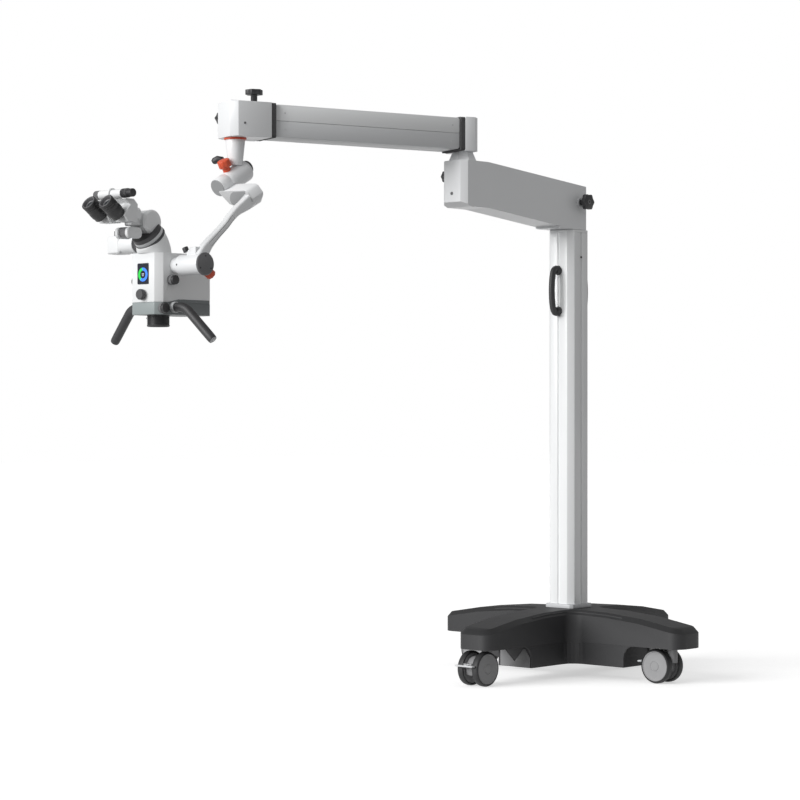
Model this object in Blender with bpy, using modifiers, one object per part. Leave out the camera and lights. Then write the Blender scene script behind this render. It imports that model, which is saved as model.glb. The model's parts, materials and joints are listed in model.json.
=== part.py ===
"""Surgical microscope on a mobile floor stand.

Metres, +Z up. The stand's castors rest on Z = 0 and the head faces -Y. The origin is
the centre of the whole object's box at floor level, so everything hangs from one empty
that is shifted there at the end. Every moving piece is a child of an empty on its axis.
"""

import math

import bmesh
import bpy
from mathutils import Matrix, Vector

GAP = 0.0003  # clearance between pieces that touch
ROUND = 24  # sides of a large round piece
SMALL_ROUND = 16  # sides of a small round piece

# Base and castors
LEG_REACH = 0.448
LEG_HALF_WIDTH = 0.0625
LEG_END_RADIUS = 0.0385
LEG_ROOT_FILLET = 0.039
LEG_DRAFT = 0.0006  # a leg's half width grows by this from end to root
BASE_BOTTOM = 0.041
BASE_TOP = 0.2
LEG_END_TOP = 0.158
LEG_END_BOTTOM = 0.105
ARCH_START = 0.252
ARCH_RADIUS = 0.034
BASE_WALL = 0.005
BALLAST_REACH = 0.24
BALLAST_TOP = 0.15
FOOT_PLATE_SIZE = 0.104
FOOT_PLATE_THICKNESS = 0.0117
CASTOR_REACH = 0.382
CASTOR_TRAIL = 0.037
WHEEL_RADIUS = 0.05
WHEEL_WIDTH = 0.022
WHEEL_TRACK = 0.058
FORK_WIDTH = 0.03
AXLE_RADIUS = 0.005
STEM_RADIUS = 0.012
WHEEL_SIDE_GAP = 0.0015
PEDAL_REACH = 0.0415  # from the wheels' axle to the pedal's pin
PEDAL_AT = -CASTOR_TRAIL - PEDAL_REACH
PEDAL_Z = -0.044
PEDAL_ARM_WIDTH = 0.012
PEDAL_PIN_RADIUS = 0.002

# Column
COLUMN_SIZE = 0.095
COLUMN_CHAMFER = 0.016
COLUMN_WALL = 0.006
COLUMN_TOP = 1.3205
GROOVE_WIDTH = 0.008
GROOVE_DEPTH = 0.003
SPINDLE_RADIUS = 0.022
HANDLE_DROP = 0.1145
HANDLE_SPAN = 0.12
HANDLE_HIGH = COLUMN_TOP - HANDLE_DROP
HANDLE_LOW = HANDLE_HIGH - HANDLE_SPAN
HANDLE_BOW = 0.034
HANDLE_BAR_RADIUS = 0.009

# Swing arm
SWING_WIDTH = 0.09
SWING_CHAMFER = 0.016
BEARING_GAP = 0.009
SWING_FOOT = COLUMN_TOP + BEARING_GAP
SWING_HEIGHT = 0.1705
SWING_TOP = SWING_FOOT + SWING_HEIGHT
SWING_REAR_HEIGHT = 0.1288
SWING_REAR_TOP = SWING_FOOT + SWING_REAR_HEIGHT
SWING_FRONT_RISE = 0.0525
SWING_FRONT_BOTTOM = SWING_FOOT + SWING_FRONT_RISE
SWING_LOW_RISE = 0.0395
SWING_LOW = SWING_FOOT + SWING_LOW_RISE
SWING_FOOT_REACH = 0.1
SWING_REAR = 0.034
SWING_WALL = 0.005
HUB_REACH = 0.488
SWING_NOSE = 0.043
SWING_FRONT = HUB_REACH + SWING_NOSE
SWING_LEVEL = 0.107
SWING_BEND = SWING_FRONT - SWING_LEVEL
HUB_HEIGHT = 0.0252
HUB_TOP = SWING_TOP + HUB_HEIGHT
SWING_KNOB_RISE = 0.081
HUB_KNOB_DROP = 0.04
HUB_BOTTOM_RADIUS = 0.0425
HUB_TOP_RADIUS = 0.031
KNOB_RADIUS = 0.025
KNOB_LENGTH = 0.014
KNOB_NECK_RADIUS = 0.009

# Spring arm, laid out along its own -Y from the hub's axis
SPRING_HEADING = math.radians(19.5)
SPRING_LENGTH = 0.709
BLOCK_WIDTH = 0.114
SPRING_PITCH = math.radians(0.45)
BLOCK_HEIGHT = 0.0955
BLOCK_BOTTOM = HUB_TOP + GAP
BLOCK_TOP = BLOCK_BOTTOM + BLOCK_HEIGHT
BLOCK_CHAMFER = 0.018
BLOCK_WALL = 0.006
REAR_BLOCK_BACK = 0.027
REAR_BLOCK_FRONT = 0.0225
FRONT_BLOCK_BACK = 0.083
FRONT_BLOCK_FRONT = 0.034
GASKET_LENGTH = 0.013
COVER_WIDTH = 0.102
COVER_SHOULDER = 0.00375  # the covers stand in from the blocks by this
COVER_HEIGHT = BLOCK_HEIGHT - 2 * COVER_SHOULDER
COVER_WALL = 0.003
COVER_GAP = 0.0025
COVER_END_CHAMFER = 0.005
PIVOT_INSET = 0.008
PIVOT_RADIUS = 0.006
BEAM_WIDTH = 0.03
BEAM_HEIGHT = 0.018
LINK_DROP = 0.026
LINK_SIZE = 0.01
GAS_SPRING_RADIUS = 0.011
GAS_SPRING_INSET = 0.08
GAS_SPRING_LENGTH = 0.24
GAS_ROD_LENGTH = 0.12
GAS_ROD_RADIUS = 0.004
GAS_FOOT_LENGTH = 0.02
FRONT_KNOB_DROP = 0.035
BLOCK_POCKET_WIDTH = 0.08

# Suspension under the front block
COLLAR_RADIUS = 0.0305
COLLAR_HEIGHT = 0.005
CONE_TOP_RADIUS = 0.027
CONE_BOTTOM_RADIUS = 0.02
SPINDLE_DROP = 0.1005  # from the rear block's underside to the swivel's axis
SWIVEL_Z = BLOCK_BOTTOM - SPINDLE_DROP
SWIVEL_TILT = math.radians(28.0)
SWIVEL_RADIUS = 0.025
SWIVEL_BACK = 0.0545
SWIVEL_SPLIT = 0.0375
SWIVEL_FRONT = 0.0735
ROLL_KNOB_RADIUS = 0.0165
ROLL_KNOB_AT = 0.0205
ROLL_SPINDLE_RADIUS = 0.011

# Yoke arm and tilt housing
BRACKET_LEFT = 0.001
BRACKET_RIGHT = 0.1245
BRACKET_REACH = 0.0475
BRACKET_DEPTH = 0.036
BRACKET_DROP = 0.0864
BRACKET_BOTTOM = SWIVEL_Z - BRACKET_DROP
BRACKET_NOSE = 0.047
BRACKET_HEIGHT = 0.0592
ARM_THICKNESS = 0.024
ARM_WIDTH = 0.036
TILT_REACH = 0.273
TILT_DROP = 0.254
TILT_Z = SWIVEL_Z - TILT_DROP
TILT_RADIUS = 0.0275
TILT_LENGTH = 0.064
TILT_NECK_LENGTH = 0.0455
TILT_NECK_RADIUS = 0.019
TILT_CAP_RADIUS = 0.03
TILT_CAP_THICKNESS = 0.006

# Optics head, laid out from the tilt axis
HEAD_WIDTH = 0.119
HEAD_FRONT = 0.059
HEAD_BACK = 0.139
HEAD_TOP = 0.0325
HEAD_BOTTOM = 0.128
HEAD_CHAMFER = 0.017
BAND_HEIGHT = 0.032
BAND_STEP = 0.01
OPTICAL_AXIS = -0.006
OBJECTIVE_RADIUS = 0.03
OBJECTIVE_DROP = 0.031
GRIP_RADIUS = 0.0125
GRIP_OUT = 0.0435
GRIP_DROP = 0.088
GRIP_LEAN = math.radians(10.3)
ELBOW_FOOT = -0.02
ELBOW_RADIUS = 0.045
LIGHT_BORE_RADIUS = 0.022
LIGHT_BORE_Y = -0.013
RING_RADIUS = 0.041
RING_CENTRE = (-0.037, 0.0745)
RING_THICKNESS = 0.02
KNUCKLE_CENTRE = (-0.051, 0.113)
KNUCKLE_RADIUS = 0.032
KNUCKLE_HALF = 0.03
KNUCKLE_SLOT = 0.019
EYE_SPACING = 0.066
EYEPIECE_RADIUS = 0.0215
EYEPIECE_RIM = (-0.217, 0.157)
EYEPIECE_LENGTH = 0.056
EYE_SLOPE = math.radians(37.0)
SPACING_BAR = (-0.166, 0.179)
SPACING_BAR_RADIUS = 0.0115
SPACING_BAR_HALF = 0.0435
SPACING_KNOB_LEFT = 0.0185
SPACING_KNOB_RIGHT = 0.0395
WEB_HALF = 0.0035
CAMERA_Y = -0.021
CAMERA_Z = 0.06
CAMERA_RADIUS = 0.0245
CAMERA_END = -0.1615
CAMERA_BLOCK = 0.048
CAMERA_TUBE_END = -0.0625

WHITE = (0.84, 0.85, 0.86, 1.0)
DARK = (0.03, 0.03, 0.032, 1.0)
GREY = (0.24, 0.24, 0.25, 1.0)
ORANGE = (0.72, 0.09, 0.04, 1.0)
STEEL = (0.55, 0.56, 0.58, 1.0)
BAND_GREEN = (0.24, 0.29, 0.29, 1.0)


def clear_scene():
    """Remove everything the file opened with."""
    for item in list(bpy.data.objects):
        bpy.data.objects.remove(item, do_unlink=True)


def make_collection(name):
    collection = bpy.data.collections.new(name)
    bpy.context.scene.collection.children.link(collection)
    return collection


def finish_of(name, colour, roughness, metallic):
    """A Principled material of its own for each piece."""
    material = bpy.data.materials.new(name)
    material.use_nodes = True
    shader = material.node_tree.nodes["Principled BSDF"]
    shader.inputs["Base Color"].default_value = colour
    shader.inputs["Roughness"].default_value = roughness
    shader.inputs["Metallic"].default_value = metallic
    return material


class Builder:
    """Holds the collections and the pivots that the pieces hang from."""

    def __init__(self):
        self.parts = make_collection("surgical_microscope")
        self.cutters = make_collection("cutters")
        self.pivots = {}
        self.worlds = {}

    def pivot(self, name, parent, place, heading=0.0, pitch=0.0):
        """An empty at a place of the whole object, turned by heading about Z, then by pitch."""
        turn = Matrix.Rotation(heading, 4, "Z") @ Matrix.Rotation(-pitch, 4, "X")
        world = Matrix.Translation(Vector(place)) @ turn
        empty = bpy.data.objects.new(name + "_axis", None)
        self.parts.objects.link(empty)
        if parent is not None:
            empty.parent = self.pivots[parent]
            empty.matrix_local = self.worlds[parent].inverted() @ world
        else:
            empty.matrix_local = world
        self.pivots[name] = empty
        self.worlds[name] = world
        return empty

    def piece(self, name, mesh, pivot, colour, roughness=0.45, metallic=0.0, cuts=(), joins=()):
        """Put a mesh in the model as a named piece, cut and joined by other meshes."""
        body = bpy.data.objects.new(name, mesh)
        mesh.name = name
        self.parts.objects.link(body)
        body.parent = self.pivots[pivot]
        body.data.materials.append(finish_of(name, colour, roughness, metallic))
        for number, tool in enumerate(joins):
            self._boolean(body, tool, "UNION", f"{name}_join_{number}", pivot)
        for number, tool in enumerate(cuts):
            self._boolean(body, tool, "DIFFERENCE", f"{name}_cut_{number}", pivot)
        return body

    def _boolean(self, body, tool, operation, name, pivot):
        cutter = bpy.data.objects.new(name, tool)
        self.cutters.objects.link(cutter)
        cutter.parent = self.pivots[pivot]
        cutter.hide_render = True
        cutter.display_type = "WIRE"
        modifier = body.modifiers.new(name, "BOOLEAN")
        modifier.operation = operation
        modifier.object = cutter
        modifier.solver = "EXACT"


def mesh_of(bm, name="shape"):
    mesh = bpy.data.meshes.new(name)
    bmesh.ops.recalc_face_normals(bm, faces=bm.faces)
    bm.to_mesh(mesh)
    bm.free()
    mesh.shade_smooth()
    mesh.set_sharp_from_angle(angle=math.radians(35))
    return mesh


def moved(mesh, place=(0, 0, 0), turn=None):
    """The same mesh, turned and then moved."""
    matrix = Matrix.Translation(Vector(place))
    if turn is not None:
        matrix = matrix @ turn
    mesh.transform(matrix)
    return mesh


def turn_z_to(direction):
    """The rotation that carries +Z to a direction."""
    return Vector(direction).to_track_quat("Z", "Y").to_matrix().to_4x4()


def box(low, high, bevel=0.0, segments=1):
    """A box between two corners, with its edges bevelled."""
    bm = bmesh.new()
    size = [b - a for a, b in zip(low, high)]
    middle = [(a + b) / 2 for a, b in zip(low, high)]
    matrix = Matrix.Translation(middle) @ Matrix.Diagonal((*size, 1.0))
    bmesh.ops.create_cube(bm, size=1.0, matrix=matrix)
    if bevel > 0:
        bmesh.ops.bevel(bm, geom=bm.edges[:], offset=bevel, segments=segments, affect="EDGES", profile=0.5)
    return mesh_of(bm)


def cylinder(radius, start, end, sides=ROUND, top_radius=None, bevel=0.0):
    """A cylinder or cone between the centres of its two ends."""
    start, end = Vector(start), Vector(end)
    axis = end - start
    bm = bmesh.new()
    bmesh.ops.create_cone(
        bm,
        cap_ends=True,
        segments=sides,
        radius1=radius,
        radius2=radius if top_radius is None else top_radius,
        depth=axis.length,
    )
    if bevel > 0:
        rims = [e for e in bm.edges if abs(e.verts[0].co.z - e.verts[1].co.z) < 1e-6]
        bmesh.ops.bevel(bm, geom=rims, offset=bevel, segments=1, affect="EDGES", profile=0.5)
    mesh = mesh_of(bm)
    return moved(mesh, (start + end) / 2, turn_z_to(axis))


def flat_outline(loops, thickness):
    """A flat outline with holes, as a 2D curve filled and extruded about z = 0."""
    curve = bpy.data.curves.new("outline", "CURVE")
    curve.dimensions = "2D"
    curve.fill_mode = "BOTH"
    curve.extrude = thickness / 2
    for loop in loops:
        spline = curve.splines.new("POLY")
        spline.points.add(len(loop) - 1)
        for point, (x, y) in zip(spline.points, loop):
            point.co = (round(x, 7), round(y, 7), 0.0, 1.0)
        spline.use_cyclic_u = True
    return mesh_from_curve(curve, True)


def mesh_from_curve(curve, flat=False):
    """The closed mesh of a curve, with its caps welded on."""
    holder = bpy.data.objects.new("curve", curve)
    bpy.context.scene.collection.objects.link(holder)
    graph = bpy.context.evaluated_depsgraph_get()
    mesh = bpy.data.meshes.new_from_object(holder.evaluated_get(graph))
    bpy.data.objects.remove(holder, do_unlink=True)
    bpy.data.curves.remove(curve)
    bm = bmesh.new()
    bm.from_mesh(mesh)
    bpy.data.meshes.remove(mesh)
    bmesh.ops.remove_doubles(bm, verts=bm.verts, dist=0.00005)
    if flat:
        bmesh.ops.dissolve_limit(bm, angle_limit=0.001, verts=bm.verts, edges=bm.edges)
    return mesh_of(bm)


def standing(outline, low, high):
    """An outline in XY, extruded along Z from low to high."""
    return moved(flat_outline([outline], high - low), (0, 0, (low + high) / 2))


def side_profile(outline, left, right):
    """An outline given as (y, z), extruded along X from left to right."""
    turn = Matrix(((0, 0, 1, 0), (1, 0, 0, 0), (0, 1, 0, 0), (0, 0, 0, 1)))
    return moved(flat_outline([outline], right - left), ((left + right) / 2, 0, 0), turn)


def turned(profile, sides=ROUND):
    """A solid of revolution from (radius, z) points that run top to bottom."""
    mesh = bpy.data.meshes.new("profile")
    points = [(radius, 0.0, z) for radius, z in profile]
    mesh.from_pydata(points, [(i, i + 1) for i in range(len(points) - 1)], [])
    holder = bpy.data.objects.new("profile", mesh)
    bpy.context.scene.collection.objects.link(holder)
    screw = holder.modifiers.new("turn", "SCREW")
    screw.steps = sides
    screw.render_steps = sides
    screw.use_merge_vertices = True
    screw.merge_threshold = 0.00005
    graph = bpy.context.evaluated_depsgraph_get()
    made = bpy.data.meshes.new_from_object(holder.evaluated_get(graph))
    bpy.data.objects.remove(holder, do_unlink=True)
    bm = bmesh.new()
    bm.from_mesh(made)
    bpy.data.meshes.remove(made)
    bmesh.ops.remove_doubles(bm, verts=bm.verts, dist=0.00005)
    return mesh_of(bm)


def tube(points, radius, sides=12, closed=False):
    """A round bar along a smooth line of points."""
    curve = bpy.data.curves.new("bar", "CURVE")
    curve.dimensions = "3D"
    curve.bevel_depth = radius
    curve.bevel_resolution = sides // 4 - 1
    curve.use_fill_caps = True
    spline = curve.splines.new("POLY")
    spline.points.add(len(points) - 1)
    for point, place in zip(spline.points, points):
        point.co = (*place, 1.0)
    spline.use_cyclic_u = closed
    return mesh_from_curve(curve)


def loft(rings):
    """A closed skin over rings that have the same number of points."""
    bm = bmesh.new()
    rows = [[bm.verts.new(point) for point in ring] for ring in rings]
    count = len(rows[0])
    for lower, upper in zip(rows, rows[1:]):
        for i in range(count):
            j = (i + 1) % count
            bm.faces.new((lower[i], lower[j], upper[j], upper[i]))
    bm.faces.new(rows[0][::-1])
    bm.faces.new(rows[-1])
    return mesh_of(bm)


def arc(centre, radius, start, end, count):
    """Points on an arc, angles in degrees, both ends included."""
    points = []
    for i in range(count + 1):
        angle = math.radians(start + (end - start) * i / count)
        points.append((centre[0] + radius * math.cos(angle), centre[1] + radius * math.sin(angle)))
    return points


def chamfered(half_x, half_y, chamfer, centre=(0.0, 0.0)):
    """A rectangle with cut corners."""
    cx, cy = centre
    corners = []
    for sx, sy in ((1, 1), (-1, 1), (-1, -1), (1, -1)):
        along_x = (cx + sx * (half_x - chamfer), cy + sy * half_y)
        along_y = (cx + sx * half_x, cy + sy * (half_y - chamfer))
        corners += [along_y, along_x] if sx * sy > 0 else [along_x, along_y]
    return corners


def lobed(radius, lobes, depth, count=4):
    """The outline of a star knob."""
    points = []
    total = lobes * count * 2
    for i in range(total):
        angle = 2 * math.pi * i / total
        points_radius = radius - depth * (0.5 - 0.5 * math.cos(lobes * angle)) ** 0.7
        points.append((points_radius * math.cos(angle), points_radius * math.sin(angle)))
    return points


def plus_outline(half_width, reach, end_radius, fillet, steps=5):
    """A plus-shaped outline with round leg ends and filleted inner corners."""
    inner = half_width - end_radius
    quarter = arc((reach - end_radius, inner), end_radius, 0, 90, steps)
    root = half_width + LEG_DRAFT + fillet
    quarter += arc((root, root), fillet, 270, 180, steps)
    quarter += arc((inner, reach - end_radius), end_radius, 0, 90, steps)
    points = []
    for turn in range(4):
        c, s = round(math.cos(turn * math.pi / 2)), round(math.sin(turn * math.pi / 2))
        points += [(x * c - y * s, x * s + y * c) for x, y in quarter]
    return points


def apply_boolean(first, second, operation):
    """The mesh that a Boolean of two meshes gives."""
    a = bpy.data.objects.new("first", first)
    b = bpy.data.objects.new("second", second)
    for item in (a, b):
        bpy.context.scene.collection.objects.link(item)
    modifier = a.modifiers.new("boolean", "BOOLEAN")
    modifier.operation = operation
    modifier.object = b
    modifier.solver = "EXACT"
    graph = bpy.context.evaluated_depsgraph_get()
    made = bpy.data.meshes.new_from_object(a.evaluated_get(graph))
    for item in (a, b):
        bpy.data.objects.remove(item, do_unlink=True)
    return made


def above_leg(drop):
    """What lies over the sloping top of a pair of legs, lower by drop."""
    root = LEG_HALF_WIDTH - 0.002
    end = LEG_REACH + 0.02
    half = []
    for share in (0.0, 0.3, 0.6, 1.0):
        sag = 0.011 * math.sin((1 - share) * math.pi)
        y = root + (end - root) * share
        half.append((y, BASE_TOP - drop + (LEG_END_TOP - BASE_TOP) * share + (sag if share else 0.0)))
    wide = LEG_HALF_WIDTH + LEG_ROOT_FILLET + 0.01
    outline = half + [(end, BASE_TOP + 0.1), (root, BASE_TOP + 0.1)]
    return [side_profile([(y * side, z) for y, z in outline], -wide, wide) for side in (-1, 1)]


def below_leg():
    """The wheel arches under a pair of legs."""
    outline = [(ARCH_START, BASE_BOTTOM - 0.02)]
    outline += arc((ARCH_START + ARCH_RADIUS, LEG_END_BOTTOM - ARCH_RADIUS), ARCH_RADIUS, 180, 90, 4)
    outline += [
        (ARCH_START + ARCH_RADIUS, LEG_END_BOTTOM + 0.01), (LEG_REACH + 0.02, LEG_END_BOTTOM + 0.01),
        (LEG_REACH + 0.02, BASE_BOTTOM - 0.02),
    ]
    wide = LEG_HALF_WIDTH + 0.01
    return [side_profile([(y * side, z) for y, z in outline], -wide, wide) for side in (-1, 1)]


def both_ways(meshes):
    """The meshes, and copies turned a quarter about the column's axis."""
    quarter = Matrix.Rotation(math.pi / 2, 4, "Z")
    return meshes + [moved(mesh.copy(), (0, 0, 0), quarter) for mesh in meshes]


def build_base(make):
    """The moulded shell, its ballast, the foot plate and the power inlet."""
    outline = plus_outline(LEG_HALF_WIDTH, LEG_REACH, LEG_END_RADIUS, LEG_ROOT_FILLET)
    cover = standing(outline, LEG_END_BOTTOM, BASE_TOP)
    for cutter in both_ways(above_leg(0.0)):
        cover = apply_boolean(cover, cutter, "DIFFERENCE")
    skirt = standing(outline, BASE_BOTTOM, LEG_END_BOTTOM - GAP)
    for cutter in both_ways(below_leg()):
        skirt = apply_boolean(skirt, cutter, "DIFFERENCE")
    inside = plus_outline(
        LEG_HALF_WIDTH - BASE_WALL, ARCH_START - BASE_WALL, 0.01, LEG_ROOT_FILLET + BASE_WALL
    )
    inner = standing(inside, BASE_BOTTOM - 0.02, BASE_TOP - BASE_WALL)
    for cutter in both_ways(above_leg(BASE_WALL)):
        inner = apply_boolean(inner, cutter, "DIFFERENCE")
    sockets = []
    for _, place, _, _ in CASTORS:
        x, y = place[0] * CASTOR_REACH, place[1] * CASTOR_REACH
        top = LEG_END_TOP - 0.01
        sockets.append(cylinder(STEM_RADIUS + GAP, (x, y, BASE_BOTTOM), (x, y, top), SMALL_ROUND))
    make.piece("base_shell", cover, "stand", DARK, 0.4, cuts=[inner, *sockets])
    room = LEG_HALF_WIDTH - BASE_WALL
    arch_end = ARCH_START + ARCH_RADIUS + 0.01
    panel = ARCH_START + 0.0003
    arches = [box((-room, panel, 0.0), (room, arch_end, 0.2)), box((-room, -arch_end, 0.0), (room, -panel, 0.2))]
    make.piece("base_skirt", skirt, "stand", DARK, 0.4, cuts=[inner.copy(), *both_ways(arches)])
    half = LEG_HALF_WIDTH - BASE_WALL - GAP
    corner = 0.012
    cross = plus_outline(half, BALLAST_REACH, corner, LEG_ROOT_FILLET)
    ballast = standing(cross, BASE_BOTTOM + 0.004, BALLAST_TOP)
    post_top = BASE_TOP - BASE_WALL - GAP
    post = box((-0.04, -0.04, BALLAST_TOP - 0.01), (0.04, 0.04, post_top))
    make.piece("ballast", ballast, "stand", GREY, 0.7, 1.0, joins=[post])
    half_plate = FOOT_PLATE_SIZE / 2
    plate = standing(
        chamfered(half_plate, half_plate, 0.008), BASE_TOP + GAP, BASE_TOP + FOOT_PLATE_THICKNESS
    )
    make.piece("foot_plate", plate, "stand", (0.6, 0.6, 0.62, 1), 0.4)
    inlet_y = COLUMN_SIZE / 2 + GAP
    foot = BASE_TOP + FOOT_PLATE_THICKNESS
    inlet = box((-0.024, inlet_y, foot + 0.03), (0.024, inlet_y + 0.014, foot + 0.066), 0.003)
    socket = box((-0.015, inlet_y + 0.004, foot + 0.038), (0.015, inlet_y + 0.03, foot + 0.058))
    make.piece("power_inlet", inlet, "stand", DARK, 0.5, cuts=[socket])


CASTORS = (
    ("front", (0.0, -1.0), (0.0, -1.0), True),
    ("right", (1.0, 0.0), (-1.0, 0.0), True),
    ("back", (0.0, 1.0), (0.0, -1.0), False),
    ("left", (-1.0, 0.0), (1.0, 0.0), False),
)


def build_castor(make, name, place, trail, has_brake):
    """One swivelling twin-wheel castor: fork with its stem, wheels on an axle, pedal."""
    x, y = place[0] * CASTOR_REACH, place[1] * CASTOR_REACH
    wheel_x, wheel_y = x + trail[0] * CASTOR_TRAIL, y + trail[1] * CASTOR_TRAIL
    heading = math.atan2(trail[0], -trail[1])
    make.pivot(f"{name}_swivel", "stand", (x, y, LEG_END_BOTTOM), heading)
    make.pivot(f"{name}_wheels", f"{name}_swivel", (wheel_x, wheel_y, WHEEL_RADIUS), heading)
    half = FORK_WIDTH / 2
    axle_z = WHEEL_RADIUS - LEG_END_BOTTOM
    hood = arc((-CASTOR_TRAIL, axle_z), 0.036, -30, 210, 12)
    block = side_profile(hood, -half, half)
    cup = cylinder(FORK_WIDTH / 2 - 0.0003, (0, 0, -0.045), (0, 0, -GAP), SMALL_ROUND)
    flange_low = 2 * WHEEL_RADIUS + 0.001 - LEG_END_BOTTOM
    flange = cylinder(0.022, (0, 0, flange_low), (0, 0, -GAP), SMALL_ROUND)
    stem_top = LEG_END_TOP - LEG_END_BOTTOM - 0.011
    stem = cylinder(STEM_RADIUS, (0, 0, -0.01), (0, 0, stem_top), SMALL_ROUND)
    bore = cylinder(AXLE_RADIUS + GAP, (-0.03, -CASTOR_TRAIL, axle_z), (0.03, -CASTOR_TRAIL, axle_z), 16)
    ears = []
    if has_brake:
        for side in (-1, 1):
            low, high = sorted((side * PEDAL_ARM_WIDTH / 2 + side * GAP, side * half))
            ears.append(box((low, PEDAL_AT - 0.006, PEDAL_Z - 0.006), (high, PEDAL_AT + 0.02, PEDAL_Z + 0.006)))
        pin_half = half - 0.001
        ears.append(
            cylinder(PEDAL_PIN_RADIUS, (-pin_half, PEDAL_AT, PEDAL_Z), (pin_half, PEDAL_AT, PEDAL_Z), 12)
        )
    make.piece(
        f"castor_fork_{name}", block, f"{name}_swivel", GREY, 0.45, joins=[cup, flange, stem, *ears],
        cuts=[bore],
    )
    inner = FORK_WIDTH / 2 + WHEEL_SIDE_GAP
    outer = inner + WHEEL_WIDTH
    wheels = None
    for side in (-1, 1):
        near, far = side * inner, side * outer
        corner = WHEEL_RADIUS / math.cos(math.pi / ROUND)
        tyre = cylinder(corner, (near, 0, 0), (far, 0, 0), ROUND, bevel=0.005)
        tyre = moved(tyre, (0, 0, 0), Matrix.Rotation(math.pi / ROUND, 4, "X"))
        wheels = tyre if wheels is None else apply_boolean(wheels, tyre, "UNION")
    axle = cylinder(AXLE_RADIUS, (-inner - 0.005, 0, 0), (inner + 0.005, 0, 0), 16)
    make.piece(f"castor_wheels_{name}", wheels, f"{name}_wheels", GREY, 0.5, joins=[axle])
    if has_brake:
        pivot = make.worlds[f"{name}_swivel"] @ Vector((0, PEDAL_AT, PEDAL_Z))
        make.pivot(f"{name}_brake", f"{name}_swivel", pivot, heading)
        arm_half = PEDAL_ARM_WIDTH / 2
        outer_edge = PEDAL_AT + CASTOR_TRAIL + WHEEL_RADIUS + 0.0015
        arm = box((-arm_half, -outer_edge - 0.004, -0.003), (arm_half, 0, 0.003))
        eye = cylinder(0.0052, (-arm_half, 0, 0), (arm_half, 0, 0), 12)
        hole = cylinder(PEDAL_PIN_RADIUS + GAP, (-0.02, 0, 0), (0.02, 0, 0), 12)
        bar = box((-0.032, -outer_edge - 0.014, -0.0022), (0.032, -outer_edge, 0.0022), 0.0008)
        make.piece(
            f"brake_pedal_{name}", bar, f"{name}_brake", (0.7, 0.7, 0.7, 1), 0.4, joins=[arm, eye],
            cuts=[hole],
        )


def build_column(make):
    """The column with its grooves, the two grab handles and the swing arm's spindle."""
    half = COLUMN_SIZE / 2
    foot = BASE_TOP + FOOT_PLATE_THICKNESS + GAP
    outer = chamfered(half, half, COLUMN_CHAMFER)
    hole = chamfered(half - COLUMN_WALL, half - COLUMN_WALL, COLUMN_CHAMFER * 0.8)
    middle = (foot + COLUMN_TOP) / 2
    post = moved(flat_outline([outer, hole], COLUMN_TOP - foot), (0, 0, middle))
    grooves = []
    for turn in range(4):
        groove = box(
            (-GROOVE_WIDTH / 2, -half - 0.01, foot - 0.01),
            (GROOVE_WIDTH / 2, -half + GROOVE_DEPTH, COLUMN_TOP + 0.01),
        )
        grooves.append(moved(groove, (0, 0, 0), Matrix.Rotation(turn * math.pi / 2, 4, "Z")))
    make.piece("column", post, "stand", WHITE, 0.35, cuts=grooves)
    for name, side in (("front", -1), ("rear", 1)):
        face = side * (half + GAP)
        out = side * HANDLE_BOW
        rise = (HANDLE_HIGH - HANDLE_LOW) / 2
        middle_z = (HANDLE_HIGH + HANDLE_LOW) / 2
        line = []
        for i in range(13):
            share = i / 12
            angle = math.pi * share
            bow = math.sin(angle) ** 0.45 if 0 < share < 1 else 0.0
            line.append((0, face + out * bow, middle_z - (rise + 0.012) * math.cos(angle)))
        bar = tube(line, HANDLE_BAR_RADIUS)
        feet = []
        for z in (HANDLE_LOW, HANDLE_HIGH):
            feet.append(cylinder(0.0125, (0, face, z), (0, face + side * 0.016, z), SMALL_ROUND))
        behind = sorted((face, face - side * 0.02))
        trim = box((-0.03, behind[0], HANDLE_LOW - 0.05), (0.03, behind[1], HANDLE_HIGH + 0.05))
        make.piece(f"column_handle_{name}", bar, "stand", DARK, 0.6, joins=feet, cuts=[trim])
    bearing = half - COLUMN_WALL - GAP
    flange = standing(chamfered(bearing, bearing, COLUMN_CHAMFER * 0.8), COLUMN_TOP - 0.03, COLUMN_TOP)
    top = SWING_FOOT + 0.12
    shaft = cylinder(SPINDLE_RADIUS, (0, 0, COLUMN_TOP - 0.01), (0, 0, top), ROUND)
    collar = cylinder(0.04, (0, 0, COLUMN_TOP - 0.005), (0, 0, SWING_FOOT - GAP), ROUND)
    make.piece("column_spindle", flange, "stand", STEEL, 0.3, 1.0, joins=[shaft, collar])


def swing_outline(inset):
    """The swing arm from the side, smaller by a wall."""
    return [
        (SWING_REAR - inset, SWING_FOOT + inset),
        (SWING_REAR - inset, SWING_REAR_TOP - inset),
        (-SWING_BEND, SWING_TOP - inset),
        (-SWING_FRONT + inset, SWING_TOP - inset),
        (-SWING_FRONT + inset, SWING_FRONT_BOTTOM + inset * 0.6),
        (-SWING_FRONT + 0.03, SWING_LOW + inset),
        (-SWING_BEND, SWING_LOW + inset),
        (-SWING_FOOT_REACH, SWING_FOOT + 0.006 + inset),
        (-SWING_FOOT_REACH + 0.0005, SWING_FOOT + inset),
    ]


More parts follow.
